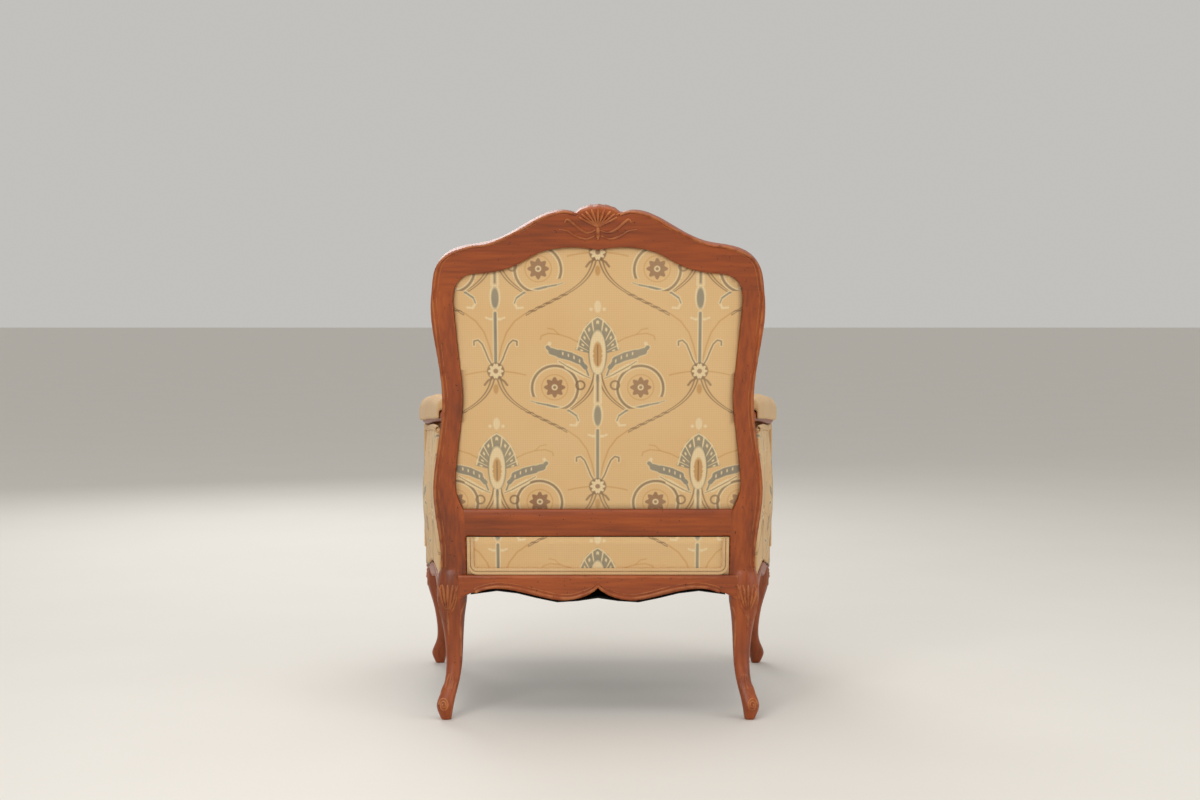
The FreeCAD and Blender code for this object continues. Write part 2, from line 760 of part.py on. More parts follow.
def bulged(inner, outer, low, high, bulge):
    """An upright slice of a padded panel: flat inside, bulged outside."""
    out = arched((outer, low), (outer + bulge, (low + high) / 2), (outer, high), 8)
    return polygon([(inner, low)] + out + [(inner, high)])


def stile_front(height_over_floor, depth):
    """The y of the sloped plane that lies depth in front of the back's rear face."""
    up = (height_over_floor - size("seat_line")) * math.tan(RAKE)
    return size("back_face_y") + up - depth / math.cos(RAKE)


def panel_top(y):
    """The top of the arm's side panels: just under the wooden arm."""
    return arm_top(y) - size("arm_thick") - 2.0


def wall_slices(label, inner, outer, bulge, foot, rear_depth, rear_shift, reach):
    """A padded wall between back and arm post, lofted through upright slices.

    inner and outer are offsets from the side rail's outer face; foot gives the lower
    edge at a y; rear_depth is how far in front of the back's rear face the wall ends;
    reach is how far behind the middle of the post it ends in front.
    """
    lean = size("back_rake")
    front = size("post_y") + reach
    low = foot(size("side_rear_y"))
    middle = (low + panel_top(size("side_rear_y"))) / 2
    rear = stile_front(middle, rear_depth)
    stations = []
    for share, tilt, swell in eased(((0.0, 1.0, 0.15), (0.3, 0.7, 0.8), (0.62, 0.35, 1.0),
                                     (1.0, 0.0, 0.1))):
        y = rear + share * (front - rear)
        low, high = foot(y), panel_top(y)
        middle = (low + high) / 2
        x = side_line(y)
        shift = rear_shift * max(0.0, 1.0 - share / 0.15)
        half = (high - low) / 2
        slice_outline = bulged(inner + shift, outer, -half, half, bulge * swell)
        stations.append((upright(x, y, middle, lean * tilt), slice_outline))
    return add_loft(label, stations)


def build_arm_upholstery(rear_leg, side_rail, arm, post):
    """The left arm's outside cloth, inside padding, cap and welts."""
    gap = size("gap")
    rabbet, thick = size("rabbet"), size("panel_thick")

    def rail_cloth_line(y):
        share = (size("side_rear_y") - y) / (size("side_rear_y") - size("side_front_y"))
        return line_height(share) + 3.0
    outside = wall_slices("outside_arm_panel_blank", -rabbet + gap, thick - rabbet,
                          size("panel_bulge"), rail_cloth_line, size("frame_thick") + gap, 0.0,
                          2.0 - size("post_width") / 2)
    outside = cut_by("outside_arm_panel_left", outside, [rear_leg, side_rail, post])
    wall, padding = size("arm_wall"), size("inside_thick")
    inside = wall_slices("inside_arm_pad_blank", -wall, -wall + padding, 0.5,
                         lambda y: size("deck_top") + gap, size("wall_start"), 24.0,
                         size("post_width") / 2)
    inside = cut_by("inside_arm_pad_left", inside, [post])
    ys = arm_shares()
    ends = (ys[1] + 20.0, ys[5] + 6.0)
    stations = []
    for y in (ends[0], ys[2], ys[3], ys[4], ends[1]):
        share = (ys[0] - y) / (ys[0] - ys[-1])
        half = arm_width(share) / 2
        edge = half + size("cap_side")
        rise, drop = size("cap_thick"), size("cap_drop")
        full = 0.72 if y in ends else 1.0
        shoulder = 0.35 * rise * full
        crown = arched((-edge, shoulder), (0.0, rise * full), (edge, shoulder), 8)
        hollow = [(edge, -drop), (half + gap, -drop), (half + gap, gap), (-half - gap, gap),
                  (-half - gap, -drop), (-edge, -drop)]
        stations.append((upright(arm_x(y), y, arm_top(y)), polygon(crown + hollow)))
    cap = cut_by("arm_cap_left", add_loft("arm_cap_blank", stations), [arm, post])
    return outside, inside, cap, build_arm_welt(outside), build_corner_cloth()


def welt_section(rise, width):
    """The section of a double welt: two chamfered cords side by side, joined."""
    a, b, groove = rise / 2, width / 2, 1.2
    return polygon([(-a, -b), (0.2 * a, -b), (a, -0.7 * b), (a, -0.25 * b), (a - groove, 0.0),
                    (a, 0.25 * b), (a, 0.7 * b), (0.2 * a, b), (-a, b)])


def build_arm_welt(panel):
    """The double welt along the top and down the front of the outside arm."""
    width, rise = size("welt"), size("welt_rise") + 1.0
    edge = size("panel_thick") - size("rabbet") - 0.5
    front = size("post_y") - size("post_width") / 2 + 2.0
    rear = stile_front(panel_top(size("side_rear_y")), size("frame_thick")) - 2.0
    along = []
    for share in (0.0, 0.33, 0.67, 1.0):
        y = rear + share * (front - rear)
        place = upright(side_line(y, edge + rise / 2), y, panel_top(y) - width / 2)
        along.append((place, welt_section(rise, width)))
    top = add_loft("arm_welt_top", along)
    down = []
    for z in (size("seat_line") - 8.0, panel_top(front) - 2.0):
        place = level(side_line(front + width / 2, edge + rise / 2), front + width / 2, z)
        down.append((place, welt_section(rise, width)))
    upright_part = add_loft("arm_welt_front", down)
    whole = joined("arm_welt_blank", top, upright_part)
    return cut_by("outside_arm_welt_left", whole, [panel])


def build_corner_cloth():
    """The cloth over the side rail in front of the arm, down to the carved knee."""
    cloth = new_body("seat_corner_cloth_left")
    place, length = side_frame()
    cloth.Placement = place
    start = (size("side_rear_y") - size("post_y") + size("post_width") / 2 - 1.5)
    start *= length / (size("side_rear_y") - size("side_front_y"))
    front = length + SIDE_REACH
    lift = 0.9
    foot = [(start + share * (front - start),
             line_height((start + share * (front - start)) / length) + lift)
            for share in (0.0, 0.35, 0.7)]
    foot.append((front, size("front_knee_top") + lift))
    top = size("rail_top")
    outline = [curve(foot), curve([foot[-1], (front, top)]), curve([(front, top), (start, top)]),
               curve([(start, top), foot[0]])]
    sketch = new_sketch(cloth, "seat_corner_cloth_outline", "XZ_Plane", outline)
    pad = cloth.newObject("PartDesign::Pad", "seat_corner_cloth_pad")
    pad.Profile = sketch
    pad.setExpression("Length", "Sizes.rabbet - Sizes.gap")
    doc.recompute()
    return cloth


# The back's upholstery

def opening_half(inset, foot, step):
    """The left edge of the back's opening above a height, drawn in by an inset."""
    points = parallel(INNER, inset)
    points[-1] = (0.0, points[-1][1])
    run = traced(points, step)
    above = [point for point in run if point[1] > foot + 1.0 or point[0] < 100.0]
    low, high = run[len(run) - len(above) - 1], above[0]
    share = (foot - low[1]) / (high[1] - low[1])
    return [(low[0] + share * (high[0] - low[0]), foot)] + above


def opening(inset, foot, step=14.0):
    """The back's opening above the lower back rail, drawn in by an inset."""
    left = opening_half(inset, foot, step)
    return polygon(left + mirrored(left)[1:])


def pad_slice(inset, foot, scale, step=24.0):
    """A slice of the inside back pad: the opening, carried down to the seat and shrunk."""
    points = parallel(INNER, inset)
    points[-1] = (0.0, points[-1][1])
    run = traced(points, step)
    left = [(points[0][0], foot)] + run
    centre = (foot + points[-1][1]) / 2
    scaled = [(x * scale, centre + (y - centre) * scale) for x, y in left]
    return polygon(scaled + mirrored(scaled)[1:])


def build_back_upholstery():
    """Everything that the back frame carries, from the outside cloth to the inside pad."""
    gap, thick = size("gap"), size("frame_thick")
    foot = size("cross_top") + gap
    outside = on_back(new_body("outside_back_panel"))
    add_pad(outside, "outside_back_cloth", opening(gap, foot), "Sizes.cloth",
            start="Sizes.back_recess")

    prism = on_back(new_body("back_opening"))
    add_pad(prism, "back_opening_prism", opening(gap, foot), "Sizes.frame_thick")
    low, high = size("cross_top"), size("crest_height")
    strap, thin = size("strap"), size("strap_thick")
    depth = size("back_recess") + size("cloth") + 4.0
    straps = []
    for number in range(4):
        middle = low + 70.0 + number * (high - low - 220.0) / 3
        straps.append(add_box(f"cross_strap_{number}", (-HALF, -depth - thin, middle - strap / 2),
                              (HALF, -depth, middle + strap / 2)))
    for number in range(3):
        middle = (number - 1) * 0.5 * HALF
        straps.append(add_box(f"up_strap_{number}",
                              (middle - strap / 2, -depth - 2 * thin - gap, low - 10.0),
                              (middle + strap / 2, -depth - thin - gap, high)))
    grid = on_back(group("back_strap_grid", straps))
    webbing = doc.addObject("Part::Common", "back_webbing")
    webbing.Label = "back_webbing"
    webbing.Base = grid
    webbing.Tool = prism

    canvas_depth = depth + 2 * thin + 2 * gap
    canvas = on_back(new_body("back_canvas"))
    sketch = new_sketch(canvas, "back_canvas_outline", "XZ_Plane", opening(gap, foot),
                        level(0, 0, canvas_depth))
    pad = canvas.newObject("PartDesign::Pad", "back_canvas_pad")
    pad.Profile = sketch
    pad.Length = 0.8

    inside = on_back(new_body("inside_back_pad"))
    start = canvas_depth + 0.8 + gap
    lower = new_sketch(inside, "inside_back_core", "XZ_Plane", opening(gap, foot),
                       level(0, 0, start))
    core = inside.newObject("PartDesign::Pad", "inside_back_core_pad")
    core.Profile = lower
    core.Length = size("cross_thick") + gap - start
    seat_foot = (size("deck_top") + 5.0 - size("seat_line")) / math.cos(RAKE)
    rise = size("back_pad_rise")
    sections = []
    slices = ((size("cross_thick") + gap, 0.996), (thick + 1.0, 0.996), (thick + 0.35 * rise, 0.98),
              (thick + 0.65 * rise, 0.945), (thick + 0.88 * rise, 0.87), (thick + rise, 0.7))
    for number, (front, scale) in enumerate(slices):
        sections.append(new_sketch(inside, f"inside_back_slice_{number}", "XZ_Plane",
                                   pad_slice(gap, seat_foot, scale), level(0, 0, front)))
    loft = inside.newObject("PartDesign::AdditiveLoft", "inside_back_crown")
    loft.Profile = sections[0]
    loft.Sections = sections[1:]
    loft.Ruled = True
    doc.recompute()

    welt = on_back(new_body("inside_back_welt"))
    waist = size("waist_height")
    edge = opening_half(-gap, waist, 20.0)
    far = opening_half(-size("welt"), waist, 20.0)
    far_run = far + mirrored(far)[1:]
    ring = polygon(edge + mirrored(edge)[1:] + far_run[::-1])
    add_pad(welt, "inside_back_welt_pad", ring, "Sizes.welt_rise", start="Sizes.frame_thick")

    lower_panel = on_back(new_body("lower_back_panel"))
    side, top = size("opening_half") - gap, size("cross_bottom") - gap
    base = (size("seat_line") - 3.0 + gap - size("seat_line")) / math.cos(RAKE)
    outline = polygon([(-side, base), (side, base), (side, top), (-side, top)])
    add_pad(lower_panel, "lower_back_cloth", outline,
            "Sizes.rabbet + Sizes.cloth - 1", start="Sizes.gap + 0.2")

    lower_welt = on_back(new_body("lower_back_welt_blank"))
    width, bend = size("welt"), 20.0
    outer_run, inner_run = [], []
    for inset, run in ((0.0, outer_run), (width, inner_run)):
        x, y, radius = side - inset, base + inset, bend - inset
        turn = Part.Arc(Vector(x, y + radius, 0),
                        Vector(x - radius * (1 - math.sqrt(0.5)), y + radius * (1 - math.sqrt(0.5)), 0),
                        Vector(x - radius, y, 0))
        back = Part.Arc(Vector(-x, y + radius, 0),
                        Vector(-x + radius * (1 - math.sqrt(0.5)),
                               y + radius * (1 - math.sqrt(0.5)), 0),
                        Vector(-x + radius, y, 0))
        run += [curve([(x, top), (x, y + radius)]), turn,
                curve([(x - radius, y), (-x + radius, y)]), back,
                curve([(-x, y + radius), (-x, top)])]
    ends = [curve([(side, top), (side - width, top)]), curve([(-side, top), (-side + width, top)])]
    add_pad(lower_welt, "lower_back_welt_pad", outer_run + inner_run + ends, "Sizes.welt_rise",
            start="0.2 - Sizes.welt_rise")
    doc.recompute()
    return outside, webbing, canvas, inside, welt, lower_panel, lower_welt


# The seat

def front_edge(x, inset=0.0):
    """The y of the front rail's bowed face at an x, drawn in by an inset."""
    share = x / size("front_half")
    return size("front_y") + inset - size("front_bow") * (1.0 - share * share)


def seat_plan(inset, front_inset):
    """The plan of the seat over the rails, clear of the stiles."""
    gap = size("gap")
    rear = size("back_face_y") - size("rabbet") - size("cloth") - inset - gap
    stile_y = stile_front(size("rail_top"), size("frame_thick")) - gap - inset
    stile_x = size("opening_half") - gap
    half = size("front_half")
    front = size("front_y") + front_inset
    side = -size("rabbet") - size("cloth") - inset
    inner = -size("rabbet") - 1.1 * size("post_width") - 2.0 - inset
    corner_y = front + 6.0
    post_front = size("post_y") - 0.55 * size("post_width") - 2.0 - inset
    left = [(stile_x, rear), (stile_x, stile_y), (side_line(stile_y, inner), stile_y),
            (side_line(post_front, inner), post_front), (side_line(post_front, side), post_front),
            (side_line(corner_y, side), corner_y), (half, front)]
    bow = arched((half, front), (0.0, front_edge(0.0, front_inset)), (-half, front), 12)
    return polygon(left + bow[1:] + [(-x, y) for x, y in reversed(left[:-1])])


def build_springs():
    """Five zigzag springs from the front rail to the rear rail, and their clips."""
    wire, top = size("wire"), size("rail_top")
    springs, clips = [], []
    rear = size("back_face_y") - size("rabbet") - size("cloth") - 8.0
    turns, swing, cut = 10, 26.0, 9.0
    spacing = 0.27 * size("front_half")
    for number in range(5):
        x = (number - 2) * spacing
        front = front_edge(x, size("rabbet") + 12.0)
        pitch = (rear - front) / turns
        centre = []
        for turn in range(turns):
            y, way = front + turn * pitch, 1 if turn % 2 == 0 else -1
            centre += [(x + way * (swing - cut), y), (x + way * swing, y + cut),
                       (x + way * swing, y + pitch - cut), (x + way * (swing - cut), y + pitch)]
        left = parallel(centre, wire / 2)
        right = parallel(centre, -wire / 2)
        body = new_body(f"seat_spring_{number}")
        add_pad(body, f"seat_spring_pad_{number}", polygon(left + right[::-1]), "Sizes.wire",
                role="XY_Plane", start="Sizes.rail_top")
        springs.append(body)
        thick = 1.2
        for end, y in (("front", front), ("rear", rear)):
            back = -1.0 if end == "front" else 1.0
            foot = y + back * (wire / 2 + 0.5)
            side = [(foot, top), (foot + back * thick, top),
                    (foot + back * thick, top + wire + thick),
                    (foot - back * 10.0, top + wire + thick), (foot - back * 10.0, top + wire),
                    (foot, top + wire)]
            clip = new_body(f"spring_clip_{number}_{end}")
            sketch = new_sketch(clip, f"spring_clip_outline_{number}_{end}", "YZ_Plane",
                                polygon(side), level(0, 0, x))
            pad = clip.newObject("PartDesign::Pad", f"spring_clip_pad_{number}_{end}")
            pad.Profile = sketch
            pad.Length = 16.0
            pad.Midplane = True
            clips.append(clip)
    doc.recompute()
    return group("seat_springs", springs), group("spring_clips", clips)


def build_seat(legs):
    """The spring cover, the padded deck and the band of cloth along the front rail."""
    gap = size("gap")
    level_of_cover = size("rail_top") + size("wire") + 1.2 + gap
    cover = new_body("spring_cover")
    sketch = new_sketch(cover, "spring_cover_outline", "XY_Plane", seat_plan(2.0, 12.0),
                        level(0, 0, level_of_cover))
    pad = cover.newObject("PartDesign::Pad", "spring_cover_pad")
    pad.Profile = sketch
    pad.Length = 1.0
    deck = new_body("seat_deck")
    start = level_of_cover + 1.0 + gap
    sketch = new_sketch(deck, "seat_deck_outline", "XY_Plane", seat_plan(0.0, 1.0),
                        level(0, 0, start))
    pad = deck.newObject("PartDesign::Pad", "seat_deck_body")
    pad.Profile = sketch
    pad.setExpression("Length", f"Sizes.deck_top - {start}")

    band = new_body("seat_front_band")
    add_pad(band, "seat_front_band_pad",
            bowed_plan(size("front_half"), size("front_y"), size("front_bow"),
                       size("rabbet") - gap),
            f"{start} - Sizes.seat_line - 2 * Sizes.gap", role="XY_Plane",
            start="Sizes.seat_line + Sizes.gap")
    doc.recompute()
    return cover, deck, cut_by("seat_front_cloth", band, legs)


def cushion_plan(inset):
    """The cushion's plan: straight behind, drawn-in sides, bowed front, rounded corners."""
    clear = -size("arm_wall") - 3.0 - inset
    rear, front = size("cushion_rear_y") - inset, size("cushion_front_y") + inset
    bend, draw = 26.0, 4.0
    rear_x, front_x = side_line(rear, clear), side_line(front, clear)
    slope = (front_x - rear_x) / (rear - front)
    bow = size("front_bow")
    corner = bend * (1 - math.sqrt(0.5))
    side_rear = (rear_x + slope * bend, rear - bend)
    side_front = (front_x - slope * bend, front + bend)
    side_middle = ((side_rear[0] + side_front[0]) / 2 - draw, (side_rear[1] + side_front[1]) / 2)
    left = arched((0.0, front - bow), ((front_x - bend) / 2, front - 0.75 * bow),
                  (front_x - bend, front), 4)
    left += arched((front_x - bend, front), (front_x - corner, front + corner), side_front, 3)[1:]
    left += arched(side_front, side_middle, side_rear, 5)[1:]
    left += arched(side_rear, (rear_x - corner, rear - corner), (rear_x - bend, rear), 3)[1:]
    return polygon(left + mirrored(left)[:-1])


def build_cushion():
    """The loose cushion, crowned on both faces, and its two lengths of piping."""
    foot = size("deck_top") + size("gap")
    thick, crown = size("cushion_thick"), size("cushion_crown")
    cord = 5.0
    seam = cord + 0.4
    half = crown + thick / 2
    profile = ((half, 50.0), (half - 0.5 * crown, seam + 13.0), (half - crown + 2.5, seam + 2.3),
               (half - crown - 4.0, seam), (0.0, seam + 2.8))
    steps = [(-rise, inset) for rise, inset in profile]
    steps += [(rise, inset) for rise, inset in reversed(profile[:-1])]
    stations = [(level(0, 0, foot + half + rise), cushion_plan(inset)) for rise, inset in steps]
    cushion = add_loft("seat_cushion", stations)
    pipings = []
    for name, rise in (("lower", crown), ("upper", crown + thick)):
        ring = new_body(f"cushion_piping_{name}")
        sketch = new_sketch(ring, f"piping_{name}_outline", "XY_Plane",
                            cushion_plan(0.0) + cushion_plan(cord),
                            level(0, 0, foot + rise - cord / 2))
        pad = ring.newObject("PartDesign::Pad", f"piping_{name}_pad")
        pad.Profile = sketch
        pad.Length = cord
        pipings.append(ring)
    doc.recompute()
    return cushion, pipings


def build_dust_cover(frame):
    """The cloth under the seat: it follows the lower edge of the front and rear rails."""
    drop, thin, runs = 3.0, 1.2, 7
    low, rise = size("rail_low"), size("notch_rise")
    stations = []
    rear_y = size("back_face_y") + size("rail_proud") - 4.0
    front_y = size("front_y") + 6.0
    for y, half in ((rear_y, size("opening_half") + 14.0), (front_y, size("front_half") - 12.0)):
        edge = lower_edge(half, low, rise)[:-1]
        edge[0] = (0.0, low + 0.36 * rise)
        edge[1] = (0.08 * half, low + 0.22 * rise)
        rim = side_line(y, -size("rail_thick") - size("gap"))
        edge.append((rim, edge[-1][1] - 6.0))
        steps = curve(edge).discretize(runs + 1)
        top = [(point.x, point.y - drop) for point in steps]
        top = mirrored(top) + top[1:]
        under = [(x, z - thin) for x, z in reversed(top)]
        stations.append((upright(0, y, 0), polygon(top + under)))
    blank = add_loft("dust_cover_blank", stations)
    return cut_by("dust_cover", blank, frame)


# What holds the frame together

def build_blocks():
    """A glued and screwed block in each corner of the seat frame, left side."""
    thick = size("rail_thick")
    low, high = size("rail_low") + size("notch_rise") + 3.0, size("rail_top") - 4.0
    reach = 96.0
    blocks, screws = [], []
    rear_in = size("back_face_y") + size("rail_proud") - thick
    front_in = size("front_y") + thick
    for name, y, way in (("rear", rear_in, -1.0), ("front", front_in, 1.0)):
        x = side_line(y, -thick)
        far_y = y + way * reach
        spread = 0.0 if name == "rear" else -size("front_bow")
        points = [(x, y + spread), (x - reach, y + spread), (x - reach, y),
                  (side_line(far_y, -thick), far_y)]
        if name == "rear":
            points = [(x, y), (x - reach, y), (side_line(far_y, -thick), far_y)]
        body = new_body(f"corner_block_{name}_blank")
        sketch = new_sketch(body, f"corner_block_{name}_outline", "XY_Plane", polygon(points),
                            level(0, 0, low))
        pad = body.newObject("PartDesign::Pad", f"corner_block_{name}_pad")
        pad.Profile = sketch
        pad.Length = high - low
        doc.recompute()
        height = size("rail_top") - 14.0
        across = x - 0.5 * reach
        screws.append(add_screw(f"block_screw_{name}", (across, y + way * 34.0, height),
                                (across, y - way * 14.0, height)))
        blocks.append(body)
    return blocks, screws


def build_tenons():
    """The left side's loose tenons, by the part of the frame that they hold."""
    half = size("opening_half")
    thick = size("frame_thick")
    up = (0, math.sin(RAKE), math.cos(RAKE))
    joint_x = (OUTER[OUTER_JOINT][0] + INNER[INNER_JOINT][0]) / 2
    back = [add_tenon("crest_tenon", back_point(joint_x, size("joint_height"), thick / 2), up)]
    height = (size("cross_bottom") + INNER[0][1]) / 2
    back.append(add_tenon("cross_tenon", back_point(half, height, size("cross_thick") / 2),
                          (1, 0, 0)))
    seat = []
    level_of_tenon = size("seat_line") - 20.0
    face = size("back_face_y") + size("rail_proud") - 0.7 * size("rail_thick")
    seat.append(add_tenon("rear_rail_tenon", (half, face, level_of_tenon), (1, 0, 0), 40.0))
    place, length = side_frame()
    along = place.Rotation.multVec(Vector(1, 0, 0))
    for name, run in (("rear", 2.0), ("front", length - 4.0)):
        middle = place.multVec(Vector(run, -size("rail_thick") * 0.6, level_of_tenon))
        seat.append(add_tenon(f"side_{name}_tenon", tuple(middle), tuple(along), 40.0))
    x = size("front_knee_x") - size("knee_width") / 2
    seat.append(add_tenon("front_rail_tenon",
                          (x, front_edge(x, size("rail_thick") * 0.55), level_of_tenon),
                          (1, 0, 0), 36.0))
    arm_y = arm_shares()[0]
    arm = [add_tenon("arm_tenon", (arm_x(arm_y), arm_y + 2.0,
                                   arm_top(arm_y) - size("arm_thick") / 2), (0, 1, 0), 36.0)]
    y = size("post_y")
    x = side_line(y) - size("rabbet") - size("post_width") * 0.55
    arm.append(add_tenon("post_tenon", (x, y, size("rail_top")), (0, 0, 1)))
    doc.recompute()
    return back, seat, arm


def check(pieces):
    """Stop if any object failed or any piece has no sound solid."""
    for item in doc.Objects:
        if "Invalid" in item.State or "Error" in item.State:
            raise RuntimeError(f"{item.Label} failed: {item.State}")
    for piece in pieces:
        shape = piece.Shape
        if shape.isNull() or not shape.isValid() or not shape.Solids:
            raise RuntimeError(f"{piece.Label} has no sound solid")


def write(pieces):
    """Write each piece to its own file."""
    os.makedirs("parts", exist_ok=True)
    for piece in pieces:
        piece.Shape.exportStep(f"parts/{piece.Label}.step")


def build_chair():
    """Build every piece, fit the joints and mirror the left side."""
    stile, crest, cross = build_back_frame()
    rear_leg, front_leg = build_legs(stile)
    back_pins, seat_pins, arm_pins = build_tenons()
    arm, post = build_arm(rear_leg)

    rear_leg = keep(cut_by("rear_leg_left", rear_leg, back_pins + seat_pins + arm_pins))
    front_leg = keep(cut_by("front_leg_left", front_leg, seat_pins))
    rear_right = keep(mirror_of("rear_leg_right", rear_leg))
    front_right = keep(mirror_of("front_leg_right", front_leg))
    pins = {}
    for name, pieces in (("back", back_pins), ("seat", seat_pins), ("arm", arm_pins)):
        twins = [mirror_of(piece.Label + "_right", piece) for piece in pieces]
        pins[name] = keep(group(f"{name}_frame_tenons", pieces + twins))
    arm = keep(cut_by("arm_rail_left", arm, arm_pins))
    arm_right = keep(mirror_of("arm_rail_right", arm))
    post = keep(cut_by("arm_post_left", post, arm_pins))
    post_right = keep(mirror_of("arm_post_right", post))

    keep(cut_by("crest_rail", crest, [pins["back"]]))
    keep(cut_by("lower_back_rail", cross, [rear_leg, rear_right, pins["back"]]))
    side_rail = build_side_rail()
    blocks, screws = build_blocks()
    screw_twins = [mirror_of(screw.Label + "_right", screw) for screw in screws]
    all_screws = keep(group("corner_block_screws", screws + screw_twins))
    legs = [rear_leg, rear_right, front_leg, front_right]
    rear_rail = keep(cut_by("rear_seat_rail", build_rear_rail(),
                            [rear_leg, rear_right, pins["seat"], all_screws]))
    front_rail = keep(cut_by("front_seat_rail", build_front_rail(),
                             [front_leg, front_right, pins["seat"], all_screws]))
    side = keep(cut_by("side_seat_rail_left", side_rail,
                       [rear_leg, front_leg, front_rail, rear_rail, pins["seat"], pins["arm"],
                        all_screws]))
    side_right = keep(mirror_of("side_seat_rail_right", side))
    for name, block, rail in (("rear", blocks[0], rear_rail), ("front", blocks[1], front_rail)):
        leg = rear_leg if name == "rear" else front_leg
        fitted = keep(cut_by(f"corner_block_{name}_left", block,
                             [leg, rail, side, all_screws, pins["seat"]]))
        keep(mirror_of(f"corner_block_{name}_right", fitted))

    outside_back, webbing, canvas, inside_back, welt, lower_panel, lower_welt = (
        build_back_upholstery())
    for piece in (outside_back, webbing, canvas, inside_back, welt, lower_panel):
        keep(piece)
    keep(cut_by("lower_back_welt", lower_welt, [rear_rail]))
    springs, clips = build_springs()
    keep(springs)
    keep(clips)
    for piece in build_seat(legs):
        keep(piece)
    cushion, pipings = build_cushion()
    keep(cushion)
    for piping in pipings:
        keep(piping)
    keep(build_dust_cover(legs + [rear_rail, front_rail, side, side_right]))
    for piece in build_arm_upholstery(rear_leg, side, arm, post):
        keep(piece)
        keep(mirror_of(piece.Label.replace("_left", "_right"), piece))


build_chair()
check(parts)
write(parts)
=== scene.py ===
"""Bergere chair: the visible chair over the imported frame.

Metres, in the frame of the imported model: +Z up, the chair faces -Y, +X is the
sitter's left. The camera looks at the chair's back, as the photograph does.
"""
import logging
import math
from collections.abc import Callable, Iterable, Sequence
from dataclasses import dataclass, field
from enum import Enum

import bmesh
import bpy
from mathutils import Matrix, Vector
from mathutils.bvhtree import BVHTree


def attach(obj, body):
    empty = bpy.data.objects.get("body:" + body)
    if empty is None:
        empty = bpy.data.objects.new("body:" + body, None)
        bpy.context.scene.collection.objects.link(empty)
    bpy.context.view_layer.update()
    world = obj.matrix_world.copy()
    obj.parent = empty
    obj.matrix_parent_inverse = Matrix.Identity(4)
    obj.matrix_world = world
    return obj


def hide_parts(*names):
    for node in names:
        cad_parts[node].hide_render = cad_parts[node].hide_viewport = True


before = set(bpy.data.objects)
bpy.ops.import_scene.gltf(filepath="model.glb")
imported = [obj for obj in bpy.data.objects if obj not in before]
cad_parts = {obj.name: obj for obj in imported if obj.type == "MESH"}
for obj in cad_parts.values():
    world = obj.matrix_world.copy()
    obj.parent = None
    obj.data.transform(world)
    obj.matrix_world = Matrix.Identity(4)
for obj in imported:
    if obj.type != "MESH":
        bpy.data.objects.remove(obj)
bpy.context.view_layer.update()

Colour = tuple[float, float, float]
Point = tuple[float, float]
Number = float

LOG = logging.getLogger("bergere")
SIDES = (("left", 1.0), ("right", -1.0))
# The way the chair faces.
FORWARD = Vector((0, -1, 0))

# The sloped back: its angle, and where its rear face crosses the seat line.
RAKE = math.radians(11.0)
BACK_Y = 0.229
SEAT_LINE = 0.285

# The cloth's pattern: metres in a pattern unit, the palmette's height up the back,
# half the repeat across, the repeat up, the half drop and the medallion's height.
PIXEL = 0.00196
PALMETTE_UP = 0.4545
HALF_REPEAT = 100.0
REPEAT_UP = 236.0
HALF_DROP = 118.0
LOWEST = 180.0
MEDALLION = -142.0

# How upright a normal is on the top of a cushion, not on its side.
BOXING_TURN = 0.6
# Points nearer than this, in metres, are one.
MERGE = 0.00002
# How far from the end of a rail its points move with its tongue.
TONGUE_REACH = 0.03


class Axis(Enum):
    """The way along which the grain of a piece of wood runs."""
    ACROSS = (0.0, math.pi / 2, 0.0)
    DEEP = (math.pi / 2, 0.0, 0.0)
    UPRIGHT = (0.0, 0.0, 0.0)


class Lay(Enum):
    """The plane on which the figured cloth's pattern lies."""
    BACK = "back"
    SIDE = "side"
    SEAT = "seat"


def srgb(red: Number, green: Number, blue: Number) -> Colour:
    """A colour given in display values, made linear.

    Args:
        red: 0 to 255, as are green and blue.
        green: the green value.
        blue: the blue value.

    Returns:
        The linear colour.
    """
    def one(value: Number) -> Number:
        """One linear value."""
        share = value / 255.0
        return share / 12.92 if share <= 0.04045 else ((share + 0.055) / 1.055) ** 2.4
    return (one(red), one(green), one(blue))


def back_point(across: Number, up: Number, out: Number = 0.0) -> Vector:
    """A point of the sloped back.

    Args:
        across: x, in metres.
        up: distance up the slope from the seat line.
        out: distance behind the rear face of the back.

    Returns:
        The point in the chair's frame.
    """
    return Vector((across,
                   BACK_Y + up * math.sin(RAKE) + out * math.cos(RAKE),
                   SEAT_LINE + up * math.cos(RAKE) - out * math.sin(RAKE)))


# Shader arithmetic

